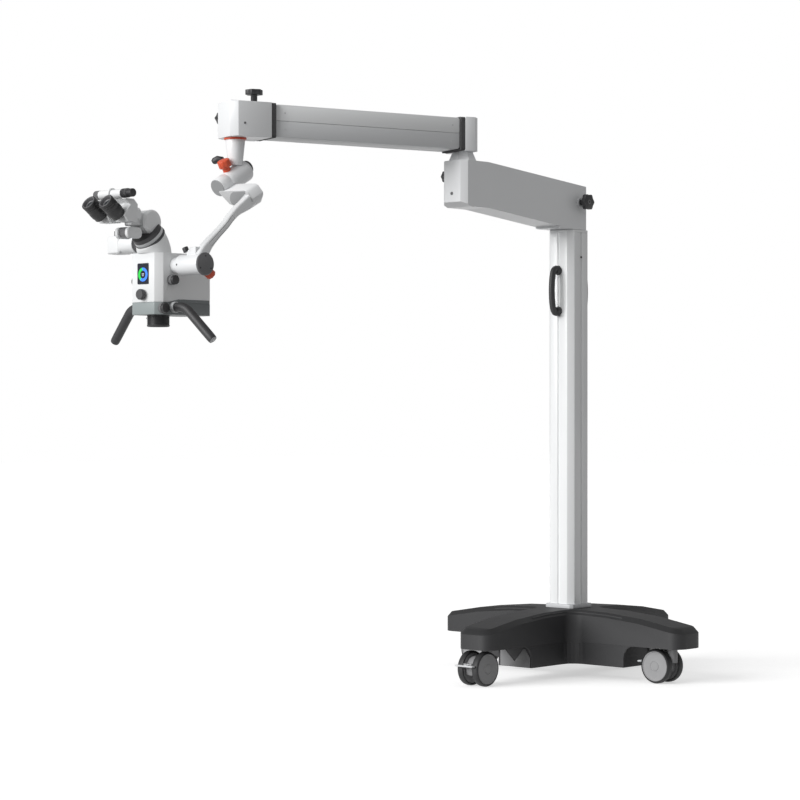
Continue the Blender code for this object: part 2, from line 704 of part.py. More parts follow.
def build_swing_arm(make):
    """The swing arm's housing, the hub on its front end and its two lock knobs."""
    make.pivot("swing", "stand", (0, 0, SWING_FOOT))
    lift = (0, 0, -SWING_FOOT)
    half = SWING_WIDTH / 2
    shell = moved(side_profile(swing_outline(0.0), -half, half), lift)
    hollow = moved(side_profile(swing_outline(SWING_WALL), -half + SWING_WALL, half - SWING_WALL), lift)
    corners = []
    for sx in (-1, 1):
        for y, sy in ((-SWING_FRONT, -1), (SWING_REAR, 1)):
            cut = SWING_CHAMFER if sy < 0 else 0.006
            side = cut * math.sqrt(0.5)
            wedge = box((-side, -side, -0.01), (side, side, 0.2))
            corners.append(moved(wedge, (sx * half, y, 0), Matrix.Rotation(math.pi / 4, 4, "Z")))
    bore = cylinder(SPINDLE_RADIUS + GAP, (0, 0, -0.02), (0, 0, SWING_WALL + 0.01), ROUND)
    top = SWING_HEIGHT - 0.001
    hub_height = HUB_TOP - GAP - SWING_FOOT
    hub = cylinder(
        HUB_BOTTOM_RADIUS, (0, -HUB_REACH, top), (0, -HUB_REACH, hub_height), 8, HUB_TOP_RADIUS
    )
    turn = Matrix.Rotation(math.pi / 8, 4, "Z")
    hub = moved(moved(moved(hub, (0, HUB_REACH, 0)), (0, 0, 0), turn), (0, -HUB_REACH, 0))
    hub_bore = cylinder(
        0.0125, (0, -HUB_REACH, top - 0.02), (0, -HUB_REACH, hub_height + 0.02), SMALL_ROUND
    )
    make.piece("swing_arm", shell, "swing", WHITE, 0.4, joins=[hub], cuts=[hollow, bore, hub_bore, *corners])
    build_knob(make, "swing_lock_knob", "swing", (half + GAP, 0, SWING_FOOT + SWING_KNOB_RISE), (1, 0, 0), KNOB_RADIUS, 6, 0.02)
    knob_y = -HUB_REACH
    build_knob(make, "hub_lock_knob", "swing", (-half - GAP, knob_y, SWING_TOP - HUB_KNOB_DROP), (-1, 0, 0), 0.0175, 6, 0.008)


def build_knob(make, name, parent, place, direction, radius, lobes, neck):
    """A lobed clamp knob on a neck, standing out of a face."""
    make.pivot(name, parent, place)
    outline = lobed(radius, lobes, radius * 0.16)
    head = moved(flat_outline([outline], KNOB_LENGTH), (0, 0, neck + KNOB_LENGTH / 2))
    stem = cylinder(min(KNOB_NECK_RADIUS, radius * 0.6), (0, 0, 0), (0, 0, neck + 0.002), 16)
    turn = turn_z_to(direction)
    make.piece(name, moved(head, (0, 0, 0), turn), name, DARK, 0.5, joins=[moved(stem, (0, 0, 0), turn)])


def spring_world(along, side, z):
    """A place of the whole object from the spring arm's own layout."""
    c, s = math.cos(SPRING_HEADING), math.sin(SPRING_HEADING)
    return (side * c - along * s, -HUB_REACH - side * s - along * c, z)


def front_rise():
    """How much higher the front block lies than the rear block."""
    level = SPRING_LENGTH - FRONT_BLOCK_BACK + PIVOT_INSET - (REAR_BLOCK_FRONT - PIVOT_INSET)
    return level * math.tan(SPRING_PITCH)


def build_spring_arm(make):
    """Both blocks, the gaskets, the beam on its pivots, the levelling link and covers."""
    heading = -SPRING_HEADING
    mid_z = (BLOCK_BOTTOM + BLOCK_TOP) / 2
    make.pivot("hub", "swing", spring_world(0, 0, mid_z), heading)
    rear_pivot = REAR_BLOCK_FRONT - PIVOT_INSET
    front_pivot = SPRING_LENGTH - FRONT_BLOCK_BACK + PIVOT_INSET
    span = (front_pivot - rear_pivot) / math.cos(SPRING_PITCH)
    make.pivot("lift", "hub", spring_world(rear_pivot, 0, mid_z), heading, SPRING_PITCH)
    make.pivot("level_link", "hub", spring_world(rear_pivot, 0, mid_z - LINK_DROP), heading, SPRING_PITCH)
    make.pivot("front", "lift", spring_world(front_pivot, 0, mid_z + front_rise()), heading)
    half_height = (BLOCK_TOP - BLOCK_BOTTOM) / 2
    half = BLOCK_WIDTH / 2
    pocket_half = BLOCK_POCKET_WIDTH / 2
    pocket_high = half_height - BLOCK_WALL

    def block(back, front, chamfer_front):
        outline = [(-half, -front), (-half, -back), (half, -back), (half, -front)]
        cut = BLOCK_CHAMFER
        if chamfer_front:
            outline = [
                (-half, -back), (half, -back), (half, -front + cut), (half - cut, -front),
                (-half + cut, -front), (-half, -front + cut),
            ]
        else:
            outline = [
                (-half, -front), (-half, -back - cut), (-half + cut, -back), (half - cut, -back),
                (half, -back - cut), (half, -front),
            ]
        return standing(outline, -half_height, half_height)

    # Rear block, with its pin and the hub's spindle
    rear = block(-REAR_BLOCK_BACK, REAR_BLOCK_FRONT, False)
    pocket = box(
        (-pocket_half, -REAR_BLOCK_FRONT - 0.01, -pocket_high),
        (pocket_half, -rear_pivot + PIVOT_RADIUS + 0.005, pocket_high),
    )
    spindle_low = SWING_TOP - 0.03 - mid_z
    spindle = cylinder(0.0122, (0, 0, spindle_low), (0, 0, -half_height + 0.002), SMALL_ROUND)
    pins = [
        cylinder(PIVOT_RADIUS, (-pocket_half - 0.005, -rear_pivot, z), (pocket_half + 0.005, -rear_pivot, z), 16)
        for z in (0.0, -LINK_DROP)
    ]
    body = apply_boolean(rear, pocket, "DIFFERENCE")
    make.piece("rear_block", body, "hub", WHITE, 0.4, joins=[spindle, *pins])
    gasket_outline = chamfered(half, half_height, 0.006)
    opening = chamfered(COVER_WIDTH / 2 - 0.004, COVER_HEIGHT / 2 - 0.004, 0.002)
    turn = Matrix.Rotation(math.pi / 2, 4, "X")
    gasket_y = -REAR_BLOCK_FRONT - GAP - GASKET_LENGTH / 2
    ring = flat_outline([gasket_outline, opening], GASKET_LENGTH)
    make.piece("rear_gasket", moved(ring, (0, gasket_y, 0), turn), "hub", DARK, 0.8)

    # Beam between the pivots, in the lift's own frame
    eye = PIVOT_RADIUS + 0.0032
    beam = box(
        (-BEAM_WIDTH / 2, -span + eye * 0.5, -BEAM_HEIGHT / 2), (BEAM_WIDTH / 2, -eye * 0.5, BEAM_HEIGHT / 2)
    )
    eyes, holes = [], []
    for y in (0.0, -span):
        eyes.append(cylinder(eye, (-BEAM_WIDTH / 2, y, 0), (BEAM_WIDTH / 2, y, 0), SMALL_ROUND))
        holes.append(cylinder(PIVOT_RADIUS + GAP, (-0.03, y, 0), (0.03, y, 0), SMALL_ROUND))
    cover_rear = -(REAR_BLOCK_FRONT + GASKET_LENGTH + COVER_GAP - rear_pivot)
    cover_front = -(span + PIVOT_INSET) + PIVOT_INSET * 2 + GASKET_LENGTH + COVER_GAP
    wing_half = COVER_WIDTH / 2 - COVER_WALL - GAP
    wings = [
        box((-wing_half, y, -0.004), (wing_half, y + 0.02, 0.004))
        for y in (cover_rear - 0.06, cover_front + 0.04)
    ]
    make.piece("arm_beam", beam, "lift", STEEL, 0.4, 1.0, joins=[*eyes, *wings], cuts=holes)
    build_covers(make, cover_rear, cover_front)
    spring_y = cover_rear - GAS_SPRING_INSET
    spring_z = BEAM_HEIGHT / 2 + GAP + GAS_SPRING_RADIUS
    strut_end = spring_y - GAS_SPRING_LENGTH
    rod_end = strut_end - GAS_ROD_LENGTH
    strut = cylinder(GAS_SPRING_RADIUS, (0, spring_y, spring_z), (0, strut_end, spring_z), SMALL_ROUND)
    rod = cylinder(GAS_ROD_RADIUS, (0, strut_end + 0.005, spring_z), (0, rod_end, spring_z), 12)
    foot_half = 2 * GAS_ROD_RADIUS
    foot = box(
        (-foot_half, rod_end - GAS_FOOT_LENGTH / 2, BEAM_HEIGHT / 2 + GAP),
        (foot_half, rod_end + GAS_FOOT_LENGTH / 2, spring_z + 0.75 * foot_half),
    )
    make.piece("gas_spring", strut, "lift", DARK, 0.4, 0.6, joins=[rod, foot])

    # Levelling link under the beam, open at its front pivot
    link_half = LINK_SIZE / 2
    link_length = span - 0.012
    rod = box((-link_half, -link_length, -link_half), (link_half, -eye * 0.5, link_half))
    ear = cylinder(eye, (-link_half, 0, 0), (link_half, 0, 0), SMALL_ROUND)
    hole = cylinder(PIVOT_RADIUS + GAP, (-0.02, 0, 0), (0.02, 0, 0), SMALL_ROUND)
    make.piece("level_link", rod, "level_link", STEEL, 0.4, 1.0, joins=[ear], cuts=[hole])

    # Front block, in the front pivot's frame
    spindle_y = -(FRONT_BLOCK_BACK - PIVOT_INSET)
    back = -PIVOT_INSET
    front = FRONT_BLOCK_BACK + FRONT_BLOCK_FRONT - PIVOT_INSET
    face = block(back, front, True)
    pocket = box((-pocket_half, -PIVOT_RADIUS - 0.005 - 0.006, -pocket_high), (pocket_half, 0.05, pocket_high))
    bore = cylinder(
        0.0123, (0, spindle_y, -half_height - 0.05), (0, spindle_y, -half_height + 0.04), SMALL_ROUND
    )
    cap = standing(chamfered(0.032, 0.028, 0.004, (0, spindle_y - 0.002)), half_height - 0.001, half_height + 0.0035)
    pin = cylinder(PIVOT_RADIUS, (-pocket_half - 0.005, 0, 0), (pocket_half + 0.005, 0, 0), 16)
    body = apply_boolean(face, pocket, "DIFFERENCE")
    make.piece("front_block", body, "front", WHITE, 0.4, joins=[cap, pin], cuts=[bore])
    ring = flat_outline([gasket_outline, opening], GASKET_LENGTH)
    gasket_y = PIVOT_INSET + GAP + GASKET_LENGTH / 2
    make.piece("front_gasket", moved(ring, (0, gasket_y, 0), turn), "front", DARK, 0.8)
    top = spring_world(SPRING_LENGTH - 0.056, 0, BLOCK_TOP + front_rise() + GAP)
    build_knob(make, "lift_knob", "front", top, (0, 0, 1), 0.0245, 6, 0.024)
    c, s = math.cos(SPRING_HEADING), math.sin(SPRING_HEADING)
    side = spring_world(
        SPRING_LENGTH + 0.008, -half - GAP, BLOCK_TOP + front_rise() - FRONT_KNOB_DROP
    )
    build_knob(make, "front_lock_knob", "front", side, (-c, s, 0), 0.018, 6, 0.009)


def build_covers(make, rear, front):
    """The upper and lower half covers of the spring arm."""
    half = COVER_HEIGHT / 2
    wide = COVER_WIDTH / 2
    wall = COVER_WALL
    for name, side in (("upper_cover", 1), ("lower_cover", -1)):
        seam = side * 0.0004
        cut = COVER_END_CHAMFER
        outline = [
            (rear, seam), (rear, side * (half - cut)), (rear - cut, side * half),
            (front + cut, side * half), (front, side * (half - cut)), (front, seam),
        ]
        shell = side_profile(outline, -wide, wide)
        hollow = box(
            (-wide + wall, front - 0.01, min(-0.001 * side, side * (half - wall))),
            (wide - wall, rear + 0.01, max(-0.001 * side, side * (half - wall))),
        )
        make.piece(name, shell, "lift", WHITE, 0.4, cuts=[hollow])


def build_suspension(make):
    """Collar, tapered spindle, the inclined swivel housing and its knobs."""
    x, y, _ = spring_world(SPRING_LENGTH, 0, 0)
    bottom = BLOCK_BOTTOM + front_rise() - GAP
    make.pivot("yaw", "front", (x, y, SWIVEL_Z))
    top = bottom - SWIVEL_Z
    ring = flat_outline([arc((0, 0), COLLAR_RADIUS, 0, 348.75, 31), arc((0, 0), 0.0125, 0, 342, 19)], COLLAR_HEIGHT)
    make.piece("collar_ring", moved(ring, (0, 0, top - COLLAR_HEIGHT / 2)), "yaw", ORANGE, 0.4)
    cone_top = top - COLLAR_HEIGHT - GAP
    cone = cylinder(CONE_BOTTOM_RADIUS, (0, 0, 0.031), (0, 0, cone_top), ROUND, CONE_TOP_RADIUS)
    shaft = cylinder(0.012, (0, 0, cone_top - 0.004), (0, 0, top + 0.036), SMALL_ROUND)
    axis = Vector((0, -math.cos(SWIVEL_TILT), -math.sin(SWIVEL_TILT)))
    housing = cylinder(SWIVEL_RADIUS, axis * -SWIVEL_BACK, axis * SWIVEL_SPLIT, ROUND, bevel=0.003)
    socket = cylinder(ROLL_SPINDLE_RADIUS + GAP, axis * -0.02, axis * 0.2, SMALL_ROUND)
    clear = cylinder(SWIVEL_RADIUS + GAP, axis * -0.1, axis * 0.1, ROUND)
    make.piece("spindle_cone", cone, "yaw", WHITE, 0.35, joins=[shaft], cuts=[clear])
    make.piece("swivel_housing", housing, "yaw", WHITE, 0.35, cuts=[socket])
    up = Vector((0, -math.sin(SWIVEL_TILT), math.cos(SWIVEL_TILT)))
    left = Vector((-1, 0, 0))
    base = make.worlds["yaw"].translation + axis * ROLL_KNOB_AT + up * (SWIVEL_RADIUS + GAP)
    build_round_knob(make, "roll_knob", "yaw", base, up, ROLL_KNOB_RADIUS, 0.02, ORANGE)
    lever_way = (left + up * 0.2).normalized()
    lever = make.worlds["yaw"].translation + axis * 0.004 + lever_way * (SWIVEL_RADIUS + GAP)
    build_knob(make, "roll_lever", "yaw", lever, lever_way, 0.012, 3, 0.005)


def build_round_knob(make, name, parent, place, direction, radius, length, colour, sides=10):
    """A short faceted knob on a stub."""
    make.pivot(name, parent, place)
    way = Vector(direction)
    head = cylinder(radius, way * 0.004, way * (0.004 + length), sides, bevel=0.0015)
    stub = cylinder(radius * 0.6, (0, 0, 0), way * 0.006, 12)
    make.piece(name, head, name, colour, 0.45, joins=[stub])


def build_yoke(make):
    """The yoke arm with its bracket, and the tilt housing at its foot."""
    hub = make.worlds["yaw"].translation
    axis = Vector((0, -math.cos(SWIVEL_TILT), -math.sin(SWIVEL_TILT)))
    make.pivot("roll", "yaw", hub)
    sleeve = cylinder(SWIVEL_RADIUS, axis * (SWIVEL_SPLIT + GAP), axis * SWIVEL_FRONT, ROUND, bevel=0.003)
    shaft = cylinder(ROLL_SPINDLE_RADIUS, axis * -0.016, axis * (SWIVEL_SPLIT + 0.01), SMALL_ROUND)
    low = BRACKET_BOTTOM - SWIVEL_Z
    y_back = -BRACKET_REACH + BRACKET_DEPTH / 2
    y_front = -BRACKET_REACH - BRACKET_DEPTH / 2
    high = low + BRACKET_HEIGHT
    face = [
        (BRACKET_LEFT, high), (BRACKET_LEFT, low + 0.04), (BRACKET_NOSE, low + 0.006),
        (BRACKET_RIGHT - 0.012, low + 0.006), (BRACKET_RIGHT, low + 0.018), (BRACKET_RIGHT, high - 0.014),
        (BRACKET_RIGHT - 0.014, high),
    ]
    quarter = Matrix.Rotation(math.pi / 2, 4, "X")
    bracket = moved(flat_outline([face], y_back - y_front), (0, (y_back + y_front) / 2, 0), quarter)
    post = box((BRACKET_LEFT + 0.002, y_front + 0.004, high - 0.009), (0.024, y_back - 0.004, high + 0.008), 0.002)
    tilt_y = -TILT_REACH
    tilt_z = TILT_Z - SWIVEL_Z
    ring_right = HEAD_WIDTH / 2 + TILT_NECK_LENGTH + TILT_LENGTH
    start = Vector((BRACKET_RIGHT - 0.0185, -BRACKET_REACH - 0.0075, low + 0.036))
    finish = Vector((ring_right - 0.017, tilt_y + 0.003, tilt_z + 0.017))
    shares = (
        (0.0, 0.0, 0.0, 0.94), (0.13, 0.144, 0.187, 0.89), (0.304, 0.278, 0.258, 0.72),
        (0.457, 0.407, 0.407, 0.58), (0.609, 0.532, 0.522, 0.56), (0.761, 0.704, 0.67, 0.56),
        (0.891, 0.852, 0.797, 0.69), (1.0, 1.0, 1.0, 1.0),
    )
    path = []
    for along_x, along_y, along_z, broad in shares:
        x = start.x + (finish.x - start.x) * along_x
        y = start.y + (finish.y - start.y) * along_y
        z = start.z + (finish.z - start.z) * along_z
        path.append((x, y, z, ARM_WIDTH * broad))
    rings = []
    for i, (x, y, z, width) in enumerate(path):
        before, after = path[max(i - 1, 0)], path[min(i + 1, len(path) - 1)]
        way = Vector((0, after[1] - before[1], after[2] - before[2])).normalized()
        across = Vector((0, -way.z, way.y))
        thick = ARM_THICKNESS / 2
        ring = []
        for px, pw in ((-1, -1), (1, -1), (1, 1), (-1, 1)):
            for cx, cw in ((1.0, 0.8), (0.75, 1.0)) if px * pw > 0 else ((0.75, 1.0), (1.0, 0.8)):
                ring.append(
                    Vector((x, y, z)) + Vector((px * cx * thick, 0, 0)) + across * (pw * cw * width / 2)
                )
        rings.append(ring)
    slender = loft(rings)
    tube_axis = [(x, tilt_y, tilt_z) for x in (ring_right - TILT_LENGTH, ring_right)]
    clear = cylinder(TILT_RADIUS + GAP, (0.0, tilt_y, tilt_z), (0.3, tilt_y, tilt_z), ROUND)
    make.piece(
        "yoke_arm", sleeve, "roll", WHITE, 0.35, joins=[shaft, bracket, post, slender], cuts=[clear]
    )
    housing = cylinder(TILT_RADIUS, tube_axis[0], tube_axis[1], ROUND, bevel=0.002)
    socket = cylinder(0.0123, (0, tilt_y, tilt_z), (ring_right - 0.02, tilt_y, tilt_z), SMALL_ROUND)
    make.piece("tilt_housing", housing, "roll", WHITE, 0.35, cuts=[socket])
    cap_left = ring_right + GAP
    cap = cylinder(
        TILT_CAP_RADIUS, (cap_left, tilt_y, tilt_z), (cap_left + TILT_CAP_THICKNESS, tilt_y, tilt_z), ROUND,
        bevel=0.001,
    )
    make.piece("tilt_cap", cap, "roll", GREY, 0.5)
    way = Vector((0, 0.83, -0.55)).normalized()
    place = hub + Vector((ring_right - 0.016, tilt_y, tilt_z)) + way * (TILT_RADIUS + GAP)
    build_round_knob(make, "tilt_knob", "roll", place, way, 0.013, 0.009, ORANGE)


def build_head(make):
    """The optics body and all that is fastened to it."""
    hub = make.worlds["yaw"].translation
    pivot = Vector((hub.x, hub.y - TILT_REACH, TILT_Z))
    make.pivot("tilt", "roll", pivot)
    half = HEAD_WIDTH / 2
    middle = (HEAD_BACK - HEAD_FRONT) / 2
    length = (HEAD_BACK + HEAD_FRONT) / 2
    corner = chamfered(half, length, HEAD_CHAMFER, (0, middle))
    seam = -HEAD_BOTTOM + BAND_HEIGHT
    body = standing(corner, seam + GAP, HEAD_TOP)
    neck_end = half + TILT_NECK_LENGTH - GAP
    neck = cylinder(TILT_NECK_RADIUS, (half - 0.004, 0, 0), (neck_end, 0, 0), ROUND)
    shaft_end = half + TILT_NECK_LENGTH + TILT_LENGTH - 0.022
    shaft = cylinder(0.012, (half - 0.004, 0, 0), (shaft_end, 0, 0), SMALL_ROUND)
    inner = chamfered(half - 0.005, length - 0.005, HEAD_CHAMFER, (0, middle))
    hollow = standing(inner, seam - 0.01, HEAD_TOP - 0.006)
    knob_hole = cylinder(0.0048, (-0.1, MAG_Y, MAG_Z), (0.1, MAG_Y, MAG_Z), 16)
    optic_bore = cylinder(
        LIGHT_BORE_RADIUS, (0, LIGHT_BORE_Y, HEAD_TOP - 0.02), (0, LIGHT_BORE_Y, HEAD_TOP + 0.02), ROUND
    )
    shell = apply_boolean(body, hollow, "DIFFERENCE")
    make.piece(
        "optics_body", shell, "tilt", WHITE, 0.4, joins=[neck, shaft], cuts=[knob_hole, optic_bore]
    )
    band = standing(corner, -HEAD_BOTTOM, seam)
    step_y = -HEAD_FRONT + HEAD_CHAMFER + 0.004
    barrel_hole = cylinder(
        OBJECTIVE_RADIUS + GAP, (0, OPTICAL_AXIS, -0.2), (0, OPTICAL_AXIS, seam + 0.02), ROUND
    )
    inside = standing(
        chamfered(half - 0.012, length - 0.012, HEAD_CHAMFER, (0, middle)), -HEAD_BOTTOM + 0.008, seam + 0.01
    )
    make.piece("base_band", band, "tilt", BAND_GREEN, 0.5, cuts=[inside, barrel_hole])
    build_head_controls(make, half, seam, step_y)
    build_objective(make, seam)
    build_grips(make, half)
    build_camera_arm(make)
    build_binocular(make)


MAG_Y = -0.017
MAG_Z = -0.038


def build_head_controls(make, half, seam, step_y):
    """The front knob, the magnification shaft with its two knobs, the band knob."""
    tilt = make.worlds["tilt"].translation
    front = tilt + Vector((0, -HEAD_FRONT - GAP, -0.0755))
    build_round_knob(make, "focus_knob", "tilt", front, (0, -1, 0), 0.014, 0.011, DARK, SMALL_ROUND)
    make.pivot("magnification_knob", "tilt", tilt + Vector((0, MAG_Y, MAG_Z)))
    shaft = cylinder(0.0045, (-half - 0.004, 0, 0), (half + 0.004, 0, 0), 16)
    ends = []
    for side in (-1, 1):
        start = side * (half + GAP)
        ends.append(cylinder(0.0125, (start, 0, 0), (start + side * 0.01, 0, 0), SMALL_ROUND))
        ends.append(cylinder(0.0135, (start + side * 0.009, 0, 0), (start + side * 0.021, 0, 0), SMALL_ROUND))
    drum = cylinder(0.034, (-0.03, 0, 0), (0.03, 0, 0), ROUND)
    make.piece("magnification_knob", shaft, "magnification_knob", DARK, 0.5, joins=[*ends, drum])
    place = tilt + Vector((half + GAP, step_y - 0.01, -HEAD_BOTTOM + BAND_HEIGHT / 2))
    build_round_knob(make, "band_knob", "tilt", place, (1, 0, 0), 0.0145, 0.014, DARK, SMALL_ROUND)


def build_objective(make, seam):
    """The focusing barrel with its ribs, and the lens in it."""
    tilt = make.worlds["tilt"].translation
    make.pivot("objective", "tilt", tilt + Vector((0, OPTICAL_AXIS, -HEAD_BOTTOM)))
    r = OBJECTIVE_RADIUS
    low = -OBJECTIVE_DROP
    profile = [(r - 0.006, 0.012), (r, 0.012)]
    for i in range(2):
        z = -0.006 - i * 0.011
        profile += [(r, z), (r - 0.0015, z - 0.001), (r - 0.0015, z - 0.005), (r, z - 0.006)]
    profile += [(r - 0.002, low), (r - 0.006, low), (r - 0.006, 0.012)]
    make.piece("objective_barrel", turned(profile), "objective", DARK, 0.45)
    lens = cylinder(r - 0.006 - GAP, (0, 0, low + 0.004), (0, 0, low + 0.009), ROUND)
    make.piece("objective_lens", lens, "objective", (0.5, 0.6, 0.62, 1), 0.05)


def build_grips(make, half):
    """The two bent hand grips on the band."""
    tilt = make.worlds["tilt"].translation
    z = -HEAD_BOTTOM + BAND_HEIGHT / 2 + 0.003
    for name, side in (("left", -1), ("right", 1)):
        place = tilt + Vector((side * (half + GAP), OPTICAL_AXIS, z))
        make.pivot(f"grip_{name}", "tilt", place)
        bend = 0.02
        line = [(0, 0, 0), (side * (GRIP_OUT - bend), 0, 0)]
        for i in range(1, 5):
            angle = math.radians(45) * i / 4
            radius = bend / math.tan(math.radians(22.5))
            line.append(
                (side * (GRIP_OUT - bend + radius * math.sin(angle)), 0, -radius * (1 - math.cos(angle)))
            )
        line.append((side * (GRIP_OUT + GRIP_DROP), 0, -GRIP_DROP))
        lean = Matrix.Rotation(GRIP_LEAN, 4, "X")
        bar = moved(tube(line, GRIP_RADIUS, 16), (0, 0, 0), lean)
        make.piece(f"grip_{name}", bar, f"grip_{name}", DARK, 0.65)


def build_camera_arm(make):
    """The camera port on the left of the elbow: ring, cylinder and end block."""
    half = CAMERA_BLOCK / 2
    block_end = CAMERA_END + CAMERA_BLOCK
    block = box(
        (CAMERA_END, CAMERA_Y - half, CAMERA_Z - half), (block_end, CAMERA_Y + half, CAMERA_Z + half), 0.004
    )
    tube_part = cylinder(CAMERA_RADIUS, (block_end - 0.002, CAMERA_Y, CAMERA_Z), (CAMERA_TUBE_END, CAMERA_Y, CAMERA_Z))
    ring = cylinder(0.0205, (CAMERA_TUBE_END - 0.002, CAMERA_Y, CAMERA_Z), (-0.02, CAMERA_Y, CAMERA_Z))
    clear = elbow_mesh(3 * GAP)
    make.piece("camera_arm", block, "tilt", WHITE, 0.4, joins=[tube_part, ring], cuts=[clear])


def elbow_mesh(grow=0.0):
    """The elbow from the body's top to the inclined ring."""
    tilt45 = math.radians(45)
    rings = []
    stations = (
        ((ELBOW_FOOT, HEAD_TOP + GAP - grow), ELBOW_RADIUS + grow, 0.0),
        ((ELBOW_FOOT, HEAD_TOP + 0.012), ELBOW_RADIUS + grow, 0.0),
        ((ELBOW_FOOT - 0.005, HEAD_TOP + 0.028), (ELBOW_RADIUS + RING_RADIUS) / 2 + grow, tilt45 * 0.5),
        (RING_CENTRE, RING_RADIUS + grow, tilt45),
    )
    for (y, z), radius, lean in stations:
        ring = []
        for i in range(ROUND):
            angle = 2 * math.pi * i / ROUND
            along = radius * math.sin(angle)
            ring.append((radius * math.cos(angle), y + along * math.cos(lean), z + along * math.sin(lean)))
        rings.append(ring)
    return loft(rings)


def build_binocular(make):
    """Elbow, rotation ring with its cheeks, tilting tube, prisms, eyepieces, bar."""
    tilt = make.worlds["tilt"].translation
    bore = cylinder(
        LIGHT_BORE_RADIUS, (0, LIGHT_BORE_Y, HEAD_TOP - 0.01), (0, LIGHT_BORE_Y, HEAD_TOP + 0.02), ROUND
    )
    make.piece("elbow", elbow_mesh(), "tilt", WHITE, 0.35, cuts=[bore])
    normal = Vector((0, -math.sqrt(0.5), math.sqrt(0.5)))
    centre = Vector((0, *RING_CENTRE))
    knuckle = Vector((0, *KNUCKLE_CENTRE))
    make.pivot("binocular_turn", "tilt", tilt + centre)
    disc = cylinder(RING_RADIUS, normal * GAP, normal * RING_THICKNESS, ROUND, bevel=0.0015)
    place = knuckle - centre
    cheeks = []
    for side in (-1, 1):
        cheeks.append(
            cylinder(
                KNUCKLE_RADIUS, place + Vector((side * KNUCKLE_SLOT, 0, 0)),
                place + Vector((side * KNUCKLE_HALF, 0, 0)), ROUND, bevel=0.005,
            )
        )
        low = normal * (RING_THICKNESS - 0.004) + Vector((side * (KNUCKLE_SLOT + 0.005), 0, 0))
        cheeks.append(cylinder(0.0045, low, place + Vector((side * (KNUCKLE_SLOT + 0.005), 0, 0)), 12))
    slot = cylinder(
        KNUCKLE_RADIUS + 0.0006, place - Vector((KNUCKLE_SLOT, 0, 0)), place + Vector((KNUCKLE_SLOT, 0, 0)), ROUND
    )
    pin = cylinder(0.007, place - Vector((KNUCKLE_SLOT + 0.004, 0, 0)), place + Vector((KNUCKLE_SLOT + 0.004, 0, 0)), 16)
    base = disc
    for cheek in cheeks:
        base = apply_boolean(base, cheek, "UNION")
    base = apply_boolean(base, slot, "DIFFERENCE")
    make.piece("binocular_base", base, "binocular_turn", WHITE, 0.4, joins=[pin])
    make.pivot("binocular_tilt", "binocular_turn", tilt + knuckle)
    hub_half = KNUCKLE_SLOT - 0.0005
    hub = cylinder(KNUCKLE_RADIUS - 0.001, (-hub_half, 0, 0), (hub_half, 0, 0), ROUND)
    pin_hole = cylinder(0.0073, (-0.1, 0, 0), (0.1, 0, 0), 16)
    bridge = box((-hub_half + 0.002, -0.06, -0.012), (hub_half - 0.002, -0.01, 0.024), 0.003)
    cross = box((-0.03, -0.0755, 0.0), (0.03, -0.037, 0.034), 0.006)
    bar_y, bar_z = (Vector((0, *SPACING_BAR)) - knuckle).yz
    web_outline = [
        (-0.05, -0.008), (-0.05, 0.027), (bar_y + 0.014, bar_z + 0.008), (bar_y - 0.008, bar_z + 0.006),
        (bar_y - 0.008, bar_z - 0.012),
    ]
    web = side_profile(web_outline, -WEB_HALF, WEB_HALF)
    eye = cylinder(SPACING_BAR_RADIUS + 0.004, (-WEB_HALF, bar_y, bar_z), (WEB_HALF, bar_y, bar_z), ROUND)
    bar_bore = cylinder(SPACING_BAR_RADIUS + GAP, (-0.02, bar_y, bar_z), (0.02, bar_y, bar_z), SMALL_ROUND)
    make.piece(
        "binocular_tube", hub, "binocular_tilt", WHITE, 0.4, joins=[bridge, cross, web, eye],
        cuts=[pin_hole, bar_bore],
    )
    build_eyes(make, tilt, knuckle)


